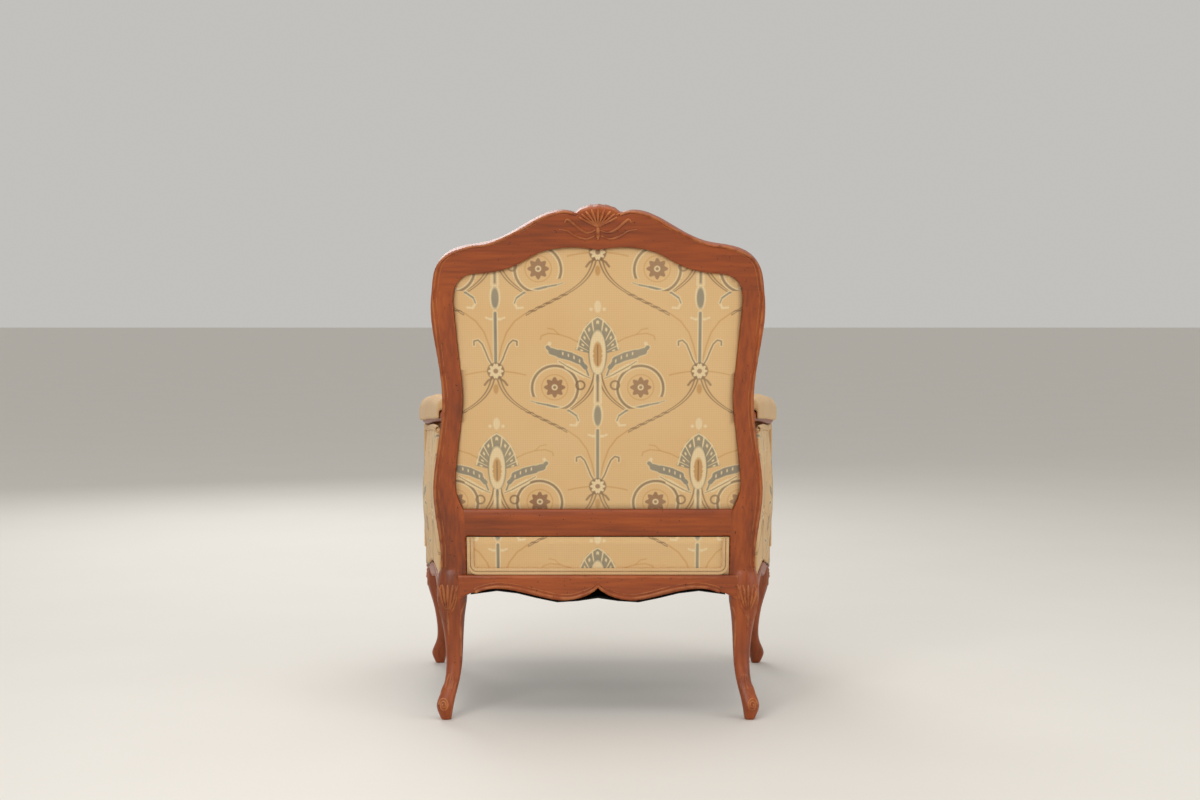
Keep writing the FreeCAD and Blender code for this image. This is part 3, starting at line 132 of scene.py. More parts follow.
class Term:
    """A number in a material's node tree, on which arithmetic adds Math nodes."""

    def __init__(self, maker: "NodeMaker", socket: bpy.types.NodeSocket) -> None:
        """Wrap a socket of the maker's tree."""
        self.maker = maker
        self.socket = socket

    def apply(self, operation: str, *others: "Term | Number", clamp: bool = False) -> "Term":
        """The result of a Math node on this term and others."""
        return self.maker.math(operation, self, *others, clamp=clamp)

    def __add__(self, other: "Term | Number") -> "Term":
        """Sum."""
        return self.apply("ADD", other)

    def __radd__(self, other: Number) -> "Term":
        """Sum, reflected."""
        return self.apply("ADD", other)

    def __sub__(self, other: "Term | Number") -> "Term":
        """Difference."""
        return self.apply("SUBTRACT", other)

    def __rsub__(self, other: Number) -> "Term":
        """Difference, reflected."""
        return self.maker.math("SUBTRACT", other, self)

    def __mul__(self, other: "Term | Number") -> "Term":
        """Product."""
        return self.apply("MULTIPLY", other)

    def __truediv__(self, other: "Term | Number") -> "Term":
        """Quotient."""
        return self.apply("DIVIDE", other)

    def __abs__(self) -> "Term":
        """The absolute value."""
        return self.apply("ABSOLUTE")

    def clamped(self) -> "Term":
        """The value kept between 0 and 1."""
        return self.apply("ADD", 0.0, clamp=True)

    def either(self, other: "Term | Number") -> "Term":
        """The greater of two masks."""
        return self.apply("MAXIMUM", other)

    def both(self, other: "Term | Number") -> "Term":
        """The smaller of two masks."""
        return self.apply("MINIMUM", other)

    def over(self, limit: "Term | Number", soft: Number = 1.0) -> "Term":
        """A mask that is 1 where the value is over a limit, with a soft edge."""
        return ((self - limit) / soft + 0.5).clamped()

    def under(self, limit: "Term | Number", soft: Number = 1.0) -> "Term":
        """A mask that is 1 where the value is under a limit, with a soft edge."""
        return ((self - limit) / (-soft) + 0.5).clamped()


class NodeMaker:
    """A material with its Principled shader, and one way to add nodes to it."""

    def __init__(self, name: str) -> None:
        """Start a material with a Principled shader.

        Args:
            name: the material's name.
        """
        self.material = bpy.data.materials.new(name)
        self.material.use_nodes = True
        self.tree = self.material.node_tree
        self.tree.nodes.clear()
        self.shader = self.tree.nodes.new("ShaderNodeBsdfPrincipled")
        out = self.tree.nodes.new("ShaderNodeOutputMaterial")
        self.tree.links.new(self.shader.outputs["BSDF"], out.inputs["Surface"])

    def node(self, kind: str, settings: dict, sockets: dict) -> bpy.types.Node:
        """Add a node.

        Args:
            kind: the node's type.
            settings: its properties, set first; "stops" are a ramp's stops.
            sockets: values, terms or sockets by input name or number.

        Returns:
            The node.
        """
        made = self.tree.nodes.new(kind)
        for key, value in settings.items():
            if key == "stops":
                self._stops(made.color_ramp, value)
            else:
                setattr(made, key, value)
        for key, value in sockets.items():
            self.feed(made.inputs[key], value)
        return made

    @staticmethod
    def _stops(ramp: bpy.types.ColorRamp, stops: Sequence[tuple[Number, Colour]]) -> None:
        """Set a ramp's stops.

        Args:
            ramp: the ramp.
            stops: a place and a colour for each stop.
        """
        while len(ramp.elements) < len(stops):
            ramp.elements.new(1.0)
        for element, (place, colour) in zip(ramp.elements, stops):
            element.position = place
            element.color = (*colour, 1.0)

    def feed(self, socket: bpy.types.NodeSocket, value: object) -> None:
        """Link a term or socket to an input, or set its value.

        Args:
            socket: the input.
            value: what goes into it.
        """
        if isinstance(value, Term):
            self.tree.links.new(value.socket, socket)
        elif isinstance(value, bpy.types.NodeSocket):
            self.tree.links.new(value, socket)
        elif isinstance(value, tuple) and len(value) == 3 and socket.type == "RGBA":
            socket.default_value = (*value, 1.0)
        else:
            socket.default_value = value

    def math(self, operation: str, *terms: "Term | Number", clamp: bool = False) -> Term:
        """A Math node's result."""
        made = self.node("ShaderNodeMath", {"operation": operation, "use_clamp": clamp},
                         dict(enumerate(terms)))
        return Term(self, made.outputs[0])

    def mix(self, share: "Term | Number", first: object, second: object) -> bpy.types.NodeSocket:
        """The mix of two colours by a share."""
        made = self.node("ShaderNodeMix", {"data_type": "RGBA"}, {0: share, 6: first, 7: second})
        return made.outputs[2]

    def place(self) -> bpy.types.NodeSocket:
        """The point in the chair's frame."""
        return self.node("ShaderNodeTexCoord", {}, {}).outputs["Object"]

    def mapped(self, turn: Sequence[Number] = (0.0, 0.0, 0.0),
               scale: Sequence[Number] = (1.0, 1.0, 1.0)) -> bpy.types.NodeSocket:
        """The point turned, then scaled.

        Args:
            turn: the rotation, in radians.
            scale: the factor on each axis.

        Returns:
            The vector's socket.
        """
        turned = self.node("ShaderNodeMapping", {}, {"Vector": self.place(),
                                                     "Rotation": tuple(turn)})
        made = self.node("ShaderNodeVectorMath", {"operation": "MULTIPLY"},
                         {0: turned.outputs[0], 1: tuple(scale)})
        return made.outputs[0]

    def apart(self, vector: bpy.types.NodeSocket) -> tuple[Term, Term, Term]:
        """The three parts of a vector."""
        made = self.node("ShaderNodeSeparateXYZ", {}, {0: vector})
        return tuple(Term(self, socket) for socket in made.outputs)

    def noise(self, vector: bpy.types.NodeSocket, scale: Number, detail: Number = 2.0) -> Term:
        """A noise of 0 to 1."""
        made = self.node("ShaderNodeTexNoise", {}, {"Vector": vector, "Scale": scale,
                                                    "Detail": detail})
        return Term(self, made.outputs[0])

    def bump(self, height: Term, distance: Number, strength: Number = 1.0) -> None:
        """Feed a height into the shader's normal."""
        made = self.node("ShaderNodeBump", {}, {"Height": height, "Distance": distance,
                                                "Strength": strength})
        self.tree.links.new(made.outputs[0], self.shader.inputs["Normal"])

    def finish(self, colour: object, roughness: object, **constants: object) -> bpy.types.Material:
        """Feed the shader.

        Args:
            colour: the base colour.
            roughness: the roughness.
            **constants: other inputs, with an underscore for each space.

        Returns:
            The material.
        """
        self.feed(self.shader.inputs["Base Color"], colour)
        self.feed(self.shader.inputs["Roughness"], roughness)
        for key, value in constants.items():
            self.feed(self.shader.inputs[key.replace("_", " ")], value)
        return self.material


# Finishes

@dataclass(frozen=True)
class ShowWood:
    """Satin stained fruitwood: grain, distress marks, pale edges that are partly rubbed wear and
    partly a painted highlight, and glaze.
    """
    dark: Colour = srgb(86, 34, 4)
    middle: Colour = srgb(142, 62, 10)
    light: Colour = srgb(178, 88, 20)
    # The pale edge colour: partly rubbed wear, partly a painted highlight on convex edges.
    rubbed_wear_and_highlight: Colour = srgb(202, 130, 70)
    glaze: Colour = srgb(176, 150, 120)
    mark: Colour = srgb(40, 18, 10)

    def build(self, name: str, axis: Axis) -> bpy.types.Material:
        """The material with its grain along an axis.

        Args:
            name: the material's name.
            axis: the way of the grain.

        Returns:
            The material.
        """
        maker = NodeMaker(name)
        along = maker.mapped(axis.value, (1.0, 1.0, 0.07))
        place = maker.place()
        grain = maker.noise(along, 170.0, 5.0)
        figure = maker.noise(along, 26.0, 2.0)
        tone = maker.noise(place, 6.0, 2.0)
        share = (grain * 0.5 + figure * 0.55 + tone * 0.35 - 0.22).clamped()
        ramp = maker.node("ShaderNodeValToRGB", {"stops": (
            (0.15, self.dark), (0.48, self.middle), (0.85, self.light))}, {0: share})
        shape = maker.node("ShaderNodeNewGeometry", {}, {})
        pointed = Term(maker, shape.outputs["Pointiness"])
        worn = maker.noise(place, 45.0, 3.0)
        # Convex edges lightened where the wear noise allows: partly rubbed wear, partly a painted
        # highlight.
        edge = (pointed.over(0.56, 0.06) * worn.over(0.47, 0.2)) * 0.6
        hollow = pointed.under(0.45, 0.05) * 0.4
        pits = maker.noise(place, 210.0, 1.0).over(0.735, 0.05) * 0.8
        colour = maker.mix(hollow, ramp.outputs[0], self.glaze)
        colour = maker.mix(edge, colour, self.rubbed_wear_and_highlight)
        colour = maker.mix(pits, colour, self.mark)
        maker.bump(grain * 0.6 - pits * 0.8 + worn * 0.3, 0.0006, 0.6)
        rough = 0.34 + tone * 0.16 + pits * 0.2
        return maker.finish(colour, rough, Specular_IOR_Level=0.5)


@dataclass(frozen=True)
class PlainWood:
    """Sawn, unfinished beech."""
    dark: Colour = srgb(176, 138, 96)
    light: Colour = srgb(214, 182, 138)

    def build(self, name: str, axis: Axis) -> bpy.types.Material:
        """The material with its grain along an axis.

        Args:
            name: the material's name.
            axis: the way of the grain.

        Returns:
            The material.
        """
        maker = NodeMaker(name)
        grain = maker.noise(maker.mapped(axis.value, (1.0, 1.0, 0.06)), 150.0, 4.0)
        short = maker.mapped(axis.value, (1.0, 1.0, 0.15))
        flecks = maker.noise(short, 420.0, 1.0).over(0.62, 0.1)
        colour = maker.mix((grain * 0.8 + flecks * 0.3).clamped(), self.light, self.dark)
        maker.bump(grain, 0.0004, 0.5)
        return maker.finish(colour, 0.7)


@dataclass(frozen=True)
class Weave:
    """The fine crosshatch of a woven cloth, in metres between threads."""
    thread: Number = 0.0011
    grid: Number = 0.0044

    def height(self, maker: NodeMaker, u: Term, v: Term) -> tuple[Term, Term]:
        """The relief of the weave.

        Args:
            maker: the material to which it belongs.
            u: the place across the cloth, in metres.
            v: the place up the cloth.

        Returns:
            The threads and the faint wider grid, both 0 to 1.
        """
        turn = 2.0 * math.pi / self.thread
        threads = ((u * turn).apply("SINE") * (v * turn).apply("SINE")) * 0.5 + 0.5
        wide = 2.0 * math.pi / self.grid
        lines = ((u * wide).apply("COSINE")).over(0.8, 0.4).either(
            ((v * wide).apply("COSINE")).over(0.8, 0.4))
        return threads, lines


@dataclass(frozen=True)
class PlainCloth:
    """The plain tan-gold cloth of the welts, caps and lower panels."""
    ground: Colour = srgb(216, 178, 126)
    shade: Colour = srgb(184, 142, 94)
    pale: Colour = srgb(236, 208, 164)
    weave: Weave = Weave()

    def build(self, name: str) -> bpy.types.Material:
        """The material.

        Args:
            name: the name that the plain cloth has in the file.

        Returns:
            The material.
        """
        maker = NodeMaker(name)
        place = maker.place()
        u, v = laid(maker)
        threads, lines = self.weave.height(maker, u, v)
        cloud = maker.noise(place, 11.0, 3.0)
        slub = maker.noise(maker.mapped((0.0, 0.0, 0.0), (1.0, 1.0, 0.1)), 260.0, 2.0)
        colour = maker.mix((cloud * 0.9 - 0.2).clamped(), self.ground, self.pale)
        colour = maker.mix(((1.0 - threads) * 0.35 + slub * 0.2).clamped(), colour, self.shade)
        colour = maker.mix(lines * 0.28, colour, self.shade)
        maker.bump(threads * 0.7 + slub * 0.3, 0.0005, 0.7)
        return maker.finish(colour, 0.86, Sheen_Weight=0.15)


@dataclass(frozen=True)
class Ink:
    """One colour of the figured cloth."""
    colour: Colour
    strength: Number = 1.0


class Drawing:
    """Flat shapes in pattern units, as masks of a pair of terms."""

    def __init__(self, x: Term, y: Term) -> None:
        """Draw over the pattern coordinates x and y."""
        self.x = x
        self.y = y

    def radius(self, cx: Number, cy: Number, rx: Number = 1.0, ry: Number = 1.0) -> Term:
        """The distance from a centre.

        Args:
            cx: the centre's place across.
            cy: the centre's height.
            rx: the unit across.
            ry: the unit up.

        Returns:
            The distance, each axis in its own unit.
        """
        dx = (self.x - cx) * (1.0 / rx)
        dy = (self.y - cy) * (1.0 / ry)
        return (dx * dx + dy * dy).apply("SQRT")

    def disc(self, cx: Number, cy: Number, rx: Number, ry: Number) -> Term:
        """A filled ellipse."""
        return self.radius(cx, cy, rx, ry).under(1.0, 1.2 / min(rx, ry))

    def ring(self, cx: Number, cy: Number, r: Number, half: Number) -> Term:
        """A circle's line."""
        return abs(self.radius(cx, cy) - r).under(half, 1.0)

    def stroke(self, start: Point, end: Point, half: Number, soft: Number = 1.0) -> Term:
        """A straight stroke with round ends.

        Args:
            start: one end.
            end: the other end.
            half: half its width.
            soft: how wide its edge's blur is.

        Returns:
            The mask.
        """
        dx, dy = end[0] - start[0], end[1] - start[1]
        square = dx * dx + dy * dy
        px, py = self.x - start[0], self.y - start[1]
        share = ((px * dx + py * dy) / square).clamped()
        ex, ey = px - share * dx, py - share * dy
        return (ex * ex + ey * ey).apply("SQRT").under(half, soft)

    def strokes(self, points: Sequence[Point], *halves: Number) -> Term:
        """Strokes from point to point.

        Args:
            points: the points.
            *halves: one half width for each stroke; the last one serves the rest.

        Returns:
            The mask.
        """
        mask = None
        for number, pair in enumerate(zip(points, points[1:])):
            made = self.stroke(*pair, halves[min(number, len(halves) - 1)])
            mask = made if mask is None else mask.either(made)
        return mask


@dataclass(frozen=True)
class FiguredCloth:
    """The woven ogee lattice of palmettes, an old textile pattern drawn by rule."""
    ground: Colour = srgb(224, 184, 128)
    shade: Colour = srgb(190, 144, 90)
    cream: Ink = Ink(srgb(236, 214, 168))
    sage: Ink = Ink(srgb(112, 120, 108), 0.88)
    slate: Ink = Ink(srgb(92, 104, 102), 0.88)
    brown: Ink = Ink(srgb(98, 64, 40), 0.85)
    wine: Ink = Ink(srgb(112, 60, 44), 0.85)
    gold: Ink = Ink(srgb(196, 136, 60), 0.7)
    ochre: Ink = Ink(srgb(188, 134, 66), 0.9)
    weave: Weave = Weave()
    stitch: Number = 0.55

    def build(self, name: str) -> bpy.types.Material:
        """The material.

        Args:
            name: the name that the figured cloth has in the file.

        Returns:
            The material.
        """
        maker = NodeMaker(name)
        u, v = laid(maker)
        threads, lines = self.weave.height(maker, u, v)
        draw = self.half_drop(u * (1.0 / PIXEL), v * (1.0 / PIXEL))
        colour: object = self.ground
        for mask, ink in self.motif(draw):
            colour = maker.mix(mask * ink.strength, colour, ink.colour)
        cloud = maker.noise(maker.place(), 7.0, 3.0)
        colour = maker.mix((cloud * 0.5 - 0.12).clamped(), colour, self.cream.colour)
        colour = maker.mix(((1.0 - threads) * 0.22).clamped(), colour, self.shade)
        colour = maker.mix(lines * 0.22, colour, self.shade)
        maker.bump(threads, 0.0004, 0.7)
        return maker.finish(colour, 0.84, Sheen_Weight=0.15)

    def half_drop(self, across: Term, up: Term) -> Drawing:
        """Fold the cloth onto the one half motif that is drawn.

        Args:
            across: the place across the cloth, in pattern units.
            up: the place up the cloth.

        Returns:
            A drawing over the motif's own coordinates.
        """
        x_first = across.apply("SNAP", self.stitch).apply("PINGPONG", HALF_REPEAT)
        lifted = up.apply("SNAP", self.stitch) + LOWEST
        y_first = lifted.apply("WRAP", REPEAT_UP, 0.0) - LOWEST
        inner = y_first.over(-62.0, 0.01)
        reach = 30.0 + inner * 40.0
        other = (x_first - reach).over(0.0, 0.01)
        x = x_first + other * (HALF_REPEAT - x_first - x_first)
        y_second = (y_first + LOWEST + HALF_DROP).apply("WRAP", REPEAT_UP, 0.0) - LOWEST
        return Drawing(x, y_first + other * (y_second - y_first))

    def motif(self, draw: Drawing) -> Iterable[tuple[Term, Ink]]:
        """The palmette, its scrolls, stem and medallion.

        Args:
            draw: the drawing over the motif's coordinates.

        Yields:
            Each shape and its ink, from back to front.
        """
        x, y = draw.x, draw.y
        yield self.vines(draw)
        yield abs(y - MEDALLION + x * x * 0.0045).under(0.7).both(x.under(57.0)), self.gold
        yield draw.strokes(((9, -4), (17, 4), (27, 9.5), (38, 13), (48, 14), (55, 11.5), (56, 8)),
                           0.6), self.gold
        yield draw.strokes(((38, 13), (43, 18), (49, 19)), 0.5), self.gold
        yield draw.strokes(((30, -84), (19, -92), (11, -103), (6, -117), (3.5, -128), (2, -137)),
                           0.7), self.gold
        tail = ((66, -54), (60, -56), (50, -58), (38, -61), (28, -64), (21, -69), (19, -74),
                (21.5, -79), (27, -78.5))
        yield draw.strokes(tail, 1.0, 1.6, 2.2, 2.2, 1.9, 1.6, 1.3, 1.1), self.cream
        yield draw.strokes(tail[:7], 0.4, 0.8, 1.1, 1.1, 0.9, 0.6), self.slate
        scroll = abs(draw.radius(42, -41) - 22.5)
        side = x.over(20.0).either(y.over(-50.0))
        open_side = 1.0 - x.over(42.0).both(y.under(-50.0))
        yield scroll.under(2.6).both(side).both(open_side), self.cream
        yield scroll.under(1.3).both(side).both(open_side), self.brown
        yield draw.ring(42.3, -40.2, 12.8, 0.5), self.gold
        turn = (y + 40.2).apply("ARCTAN2", x - 42.3)
        petals = (turn * 8.0).apply("COSINE") * 1.5 + 9.0
        rose = draw.radius(42.3, -40.2)
        yield (petals - rose).over(0.0), self.wine
        yield rose.under(3.0), self.cream
        yield rose.under(1.6), self.brown
        yield self.fan(draw)
        yield self.fan_lines(draw)
        leaf = ((9, -28), (12, -20), (18, -13), (27, -9), (37, -6.5), (45, -4), (49, 0), (47, 4))
        yield draw.strokes(leaf, 1.6, 3.2, 4.8, 5.0, 4.2, 2.8, 1.8, 1.6), self.cream
        yield draw.strokes(leaf[:-1], 0.9, 2.4, 4.0, 4.2, 3.4, 2.0, 1.1), self.slate
        beads = (x * 1.15).apply("SINE").over(0.72, 0.4)
        yield (draw.strokes(((14, -16), (24, -9.5), (36, -5.5)), 1.4) * beads), self.cream
        feather = ((7, -31), (14, -28), (22, -23.5), (30, -19), (38, -14))
        yield draw.strokes(feather, 1.2, 2.4, 2.8, 1.6), self.cream
        yield draw.strokes(feather, 0.4, 0.5, 0.5, 0.4), self.brown
        flame = draw.disc(0, -5, 9.2, 23.5)
        yield flame, self.slate
        yield draw.disc(0, -5.5, 8.0, 22.5), self.cream
        notch = (y * 1.3).apply("SINE") * 0.9
        yield draw.disc(0, -7, 4.6, 12.5).both((4.6 + notch - x).over(0.0)), self.ochre
        yield draw.stroke((0, -18), (0, 2), 0.6), self.brown
        yield draw.disc(0, 40.5, 3.4, 6.0), self.cream
        yield draw.disc(6.4, 38, 1.7, 1.7), self.cream
        yield draw.ring(17, -38, 4.2, 0.9), self.brown
        yield draw.stroke((2.4, -28), (3.2, -56), 1.1), self.cream
        yield draw.stroke((0, -28), (0, -56), 1.0), self.slate
        yield draw.disc(0, -68, 5.4, 13.0), self.cream
        yield draw.disc(0, -69, 3.6, 10.5), self.slate
        yield draw.strokes(((0, -90), (5, -90), (9, -88.5)), 1.4, 1.0), self.cream
        yield draw.stroke((0, -84), (0, -137), 2.6), self.cream
        yield draw.stroke((0, -84), (0, -137), 1.5), self.slate
        hook = ((3, -137), (7, -130), (10, -122), (13, -115), (17, -111), (21, -112), (21, -116))
        yield draw.strokes(hook, 1.8), self.cream
        yield draw.strokes(hook, 0.8), self.brown
        spin = (y - MEDALLION).apply("ARCTAN2", x)
        edge = (spin * 9.0).apply("COSINE") * 1.1 + 6.6
        medal = draw.radius(0, MEDALLION)
        yield medal.under(8.6), self.brown
        yield (edge - medal).over(0.0), self.cream
        yield medal.under(2.4), self.wine
        yield draw.strokes(((3, -149), (8, -152), (11, -156)), 1.1), self.brown
        yield draw.disc(0, -160, 2.6, 5.0), self.ochre

    @staticmethod
    def fan_place(draw: Drawing) -> tuple[Term, Term, Term]:
        """Where a point lies on the fan.

        Args:
            draw: the drawing over the motif's coordinates.

        Returns:
            The angle, the distance from the fan's foot, and the fan's rim at that angle.
        """
        turn = abs(draw.x.apply("ARCTAN2", draw.y + 8.0))
        lobe = (1.0 - turn * (1.0 / 1.17)).apply("MAXIMUM", 0.0).apply("POWER", 1.5)
        return turn, draw.radius(0, -8), 20.5 + lobe * 17.0

    def fan(self, draw: Drawing) -> tuple[Term, Ink]:
        """The palmette's fan of feathers.

        Args:
            draw: the drawing over the motif's coordinates.

        Returns:
            The mask and its ink.
        """
        turn, away, rim = self.fan_place(draw)
        ripple = abs((turn * 10.0).apply("COSINE")) * 2.2
        return away.under(rim + ripple).both(turn.under(1.32, 0.04)), self.sage

    def fan_lines(self, draw: Drawing) -> tuple[Term, Ink]:
        """The pale outlines between the feathers and the eye near each tip.

        Args:
            draw: the drawing over the motif's coordinates.

        Returns:
            The mask and its ink.
        """
        turn, away, rim = self.fan_place(draw)
        ribs = abs((turn * 10.0).apply("COSINE")).under(0.22, 0.2)
        edge = abs(away - rim - 1.0).under(0.8)
        eyes = abs(away - rim + 4.0).under(1.5) * abs((turn * 10.0).apply("SINE")).under(0.4, 0.2)
        inside = away.under(rim + 2.0).both(turn.under(1.3, 0.04)).both(away.over(9.0))
        return ribs.either(edge).either(eyes) * inside, self.cream

    def vines(self, draw: Drawing) -> tuple[Term, Ink]:
        """The ogee vine from one medallion down to the next column's.

        Args:
            draw: the drawing over the motif's coordinates.

        Returns:
            The mask and its ink.
        """
        drop = (MEDALLION - draw.y).apply("WRAP", HALF_DROP, 0.0) / HALF_DROP
        sway = ((drop - 0.43) * 4.75).apply("TANH") + 1.0
        line = abs(draw.x - sway * (HALF_REPEAT / 2))
        twin = abs(line - 1.6).under(0.8)
        leaf = line.under(3.4) * (draw.y * 1.6).apply("SINE").over(0.1, 0.6)
        leafy = drop.over(0.33, 0.03).both(drop.under(0.52, 0.03))
        return twin.either(leaf * leafy), self.brown


def laid(maker: NodeMaker) -> tuple[Term, Term]:
    """The two pattern coordinates that a piece of cloth carries.

    Args:
        maker: the cloth's material.

    Returns:
        The places across and up the pattern, in metres.
    """
    cloth = maker.node("ShaderNodeUVMap", {"uv_map": "cloth"}, {})
    u, v, _ = maker.apart(cloth.outputs[0])
    return u, v


def pattern_place(point: Vector, lay: Lay) -> tuple[Number, Number]:
    """Where a point of the chair lies on its cloth's pattern.

    Args:
        point: the point in the chair's frame.
        lay: the plane of the pattern.

    Returns:
        The places across and up the pattern, in metres.
    """
    if lay is Lay.BACK:
        up = (point.y - BACK_Y) * math.sin(RAKE) + (point.z - SEAT_LINE) * math.cos(RAKE)
        return point.x, up - PALMETTE_UP
    if lay is Lay.SIDE:
        return point.y + 0.05, point.z - 0.44
    return point.x, -point.y - 0.1


def boxing_lay(normal: Vector) -> Lay:
    """The way the cloth runs on one face of a cushion.

    Args:
        normal: the face's normal.

    Returns:
        The lay of the top, or of the strip along a side.
    """
    if abs(normal.z) > BOXING_TURN:
        return Lay.SEAT
    return Lay.BACK if abs(normal.y) > abs(normal.x) else Lay.SIDE


def lay_cloth(piece: bpy.types.Object, lay: Lay) -> bpy.types.Object:
    """Write the cloth's pattern coordinates onto a piece.

    Args:
        piece: the piece.
        lay: the plane of the pattern.

    Returns:
        The piece.
    """
    data = piece.data
    layer = data.uv_layers.get("cloth") or data.uv_layers.new(name="cloth")
    flat: list[Number] = []
    for face in data.polygons:
        way = boxing_lay(face.normal) if lay is Lay.SEAT else lay
        for index in face.vertices:
            flat.extend(pattern_place(data.vertices[index].co, way))
    layer.data.foreach_set("uv", flat)
    return piece


@dataclass(frozen=True)
class RoughCloth:
    """A plain coarse cloth: jute webbing, canvas or black cover cloth."""
    dark: Colour
    light: Colour
    thread: Number = 0.0016

    def build(self, name: str) -> bpy.types.Material:
        """The material.

        Args:
            name: the name that the coarse cloth has in the file.

        Returns:
            The material.
        """
        maker = NodeMaker(name)
        x, y, z = maker.apart(maker.place())
        turn = 2.0 * math.pi / self.thread
        threads = ((x + z) * turn).apply("SINE") * ((y - z) * turn).apply("SINE") * 0.5 + 0.5
        cloud = maker.noise(maker.place(), 60.0, 3.0)
        colour = maker.mix((threads * 0.6 + cloud * 0.4).clamped(), self.dark, self.light)
        maker.bump(threads, 0.0005, 0.8)
        return maker.finish(colour, 0.92)


@dataclass(frozen=True)
class Steel:
    """Drawn steel wire and plain fixings."""
    base: Colour = (0.52, 0.52, 0.53)
    dull: Colour = (0.30, 0.29, 0.28)

    def build(self, name: str) -> bpy.types.Material:
        """The material.

        Args:
            name: the name that the metal has in the file.

        Returns:
            The material.
        """
        maker = NodeMaker(name)
        cloud = maker.noise(maker.place(), 90.0, 3.0)
        colour = maker.mix(cloud.over(0.5, 0.4) * 0.7, self.base, self.dull)
        maker.bump(cloud, 0.0002, 0.4)
        return maker.finish(colour, 0.3 + cloud * 0.25, Metallic=1.0)


class Finishes:
    """Every finish of the chair, built once and found by name."""

    def __init__(self) -> None:
        """Build the finishes."""
        wood, raw = ShowWood(), PlainWood()
        plain, figured = PlainCloth(), FiguredCloth()
        self.show = {axis: wood.build(f"show_wood_{axis.name.lower()}", axis) for axis in Axis}
        self.raw = {axis: raw.build(f"inner_wood_{axis.name.lower()}", axis) for axis in Axis}
        self.plain = plain.build("plain_cloth")
        self.figured = figured.build("figured_cloth")
        self.black = RoughCloth(srgb(12, 11, 11), srgb(30, 28, 27)).build("black_cloth")
        self.jute = RoughCloth(srgb(120, 94, 60), srgb(186, 156, 108), 0.003).build("jute")
        self.steel = Steel().build("steel")


# Mesh helpers

def paint(piece: bpy.types.Object, material: bpy.types.Material) -> bpy.types.Object:
    """Give a piece one material.

    Args:
        piece: the piece.
        material: the material.

    Returns:
        The piece.
    """
    piece.data.materials.clear()
    piece.data.materials.append(material)
    return piece


def merged(*nodes: str) -> bmesh.types.BMesh:
    """The meshes of CAD nodes in one, with their doubled points merged.

    Args:
        *nodes: the nodes' names.

    Returns:
        The joined copy.
    """
    made = bmesh.new()
    for node in nodes:
        made.from_mesh(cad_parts[node].data)
    bmesh.ops.remove_doubles(made, verts=made.verts, dist=MERGE)
    return made


def mesh_of(node: str) -> bmesh.types.BMesh:
    """A copy of a CAD node's mesh, without the edges inside its flat faces.

    Args:
        node: the node's name.

    Returns:
        The copy.
    """
    made = merged(node)
    bmesh.ops.dissolve_limit(made, angle_limit=0.01, verts=made.verts, edges=made.edges)
    return made


def smoothed(data: bpy.types.Mesh) -> None:
    """Shade every face of a mesh smooth."""
    for face in data.polygons:
        face.use_smooth = True


def linked(made: bmesh.types.BMesh, name: str) -> bpy.types.Object:
    """Turn a bmesh into an object of the scene.

    Args:
        made: the bmesh, which is freed.
        name: the object's name.

    Returns:
        The object.
    """
    data = bpy.data.meshes.new(name)
    made.to_mesh(data)
    made.free()
    piece = bpy.data.objects.new(name, data)
    bpy.context.scene.collection.objects.link(piece)
    return piece


def piece_from(made: bmesh.types.BMesh, name: str, body: str = "frame") -> bpy.types.Object:
    """Turn a bmesh into a piece that rides on a body.

    Args:
        made: the bmesh, which is freed.
        name: the piece's name.
        body: the body.

    Returns:
        The piece.
    """
    bmesh.ops.recalc_face_normals(made, faces=made.faces)
    piece = linked(made, name)
    smoothed(piece.data)
    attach(piece, body)
    return piece


def modified(piece: bpy.types.Object, kind: str, **settings: object) -> None:
    """Add a modifier, set it and apply it.

    Args:
        piece: the piece.
        kind: the modifier's type.
        **settings: its properties.
    """
    change = piece.modifiers.new(kind.title(), kind)
    for key, value in settings.items():
        setattr(change, key, value)
    bpy.context.view_layer.update()
    shape = piece.evaluated_get(bpy.context.evaluated_depsgraph_get())
    data = bpy.data.meshes.new_from_object(shape)
    piece.modifiers.clear()
    old = piece.data
    piece.data = data
    bpy.data.meshes.remove(old)


def rubbed_down(piece: bpy.types.Object, voxel: Number, rounds: int) -> None:
    """Remesh a piece finely, then smooth it.

    Args:
        piece: the piece.
        voxel: the size of the remesh.
        rounds: how many times the surface is smoothed.
    """
    modified(piece, "REMESH", mode="VOXEL", voxel_size=voxel, use_smooth_shade=True)
    modified(piece, "SMOOTH", factor=0.5, iterations=rounds)
    smoothed(piece.data)


def remade(node: str, name: str, voxel: Number, rounds: int, body: str = "frame",
           tongue: Number = 0.0) -> bpy.types.Object:
    """A rounded copy of a CAD node, as if rubbed down.

    Args:
        node: the CAD node that the copy replaces.
        name: the new piece's name.
        voxel: the size of the remesh.
        rounds: how many times the surface is smoothed.
        body: the body on which it rides.
        tongue: how far the ends of a rail across the chair run on into the legs.

    Returns:
        The new piece.
    """
    made = mesh_of(node)
    end = max(vert.co.x for vert in made.verts) - TONGUE_REACH
    for vert in made.verts:
        if tongue and abs(vert.co.x) > end:
            vert.co.x += math.copysign(tongue, vert.co.x)
    piece = piece_from(made, name, body)
    rubbed_down(piece, voxel, rounds)
    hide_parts(node)
    return piece


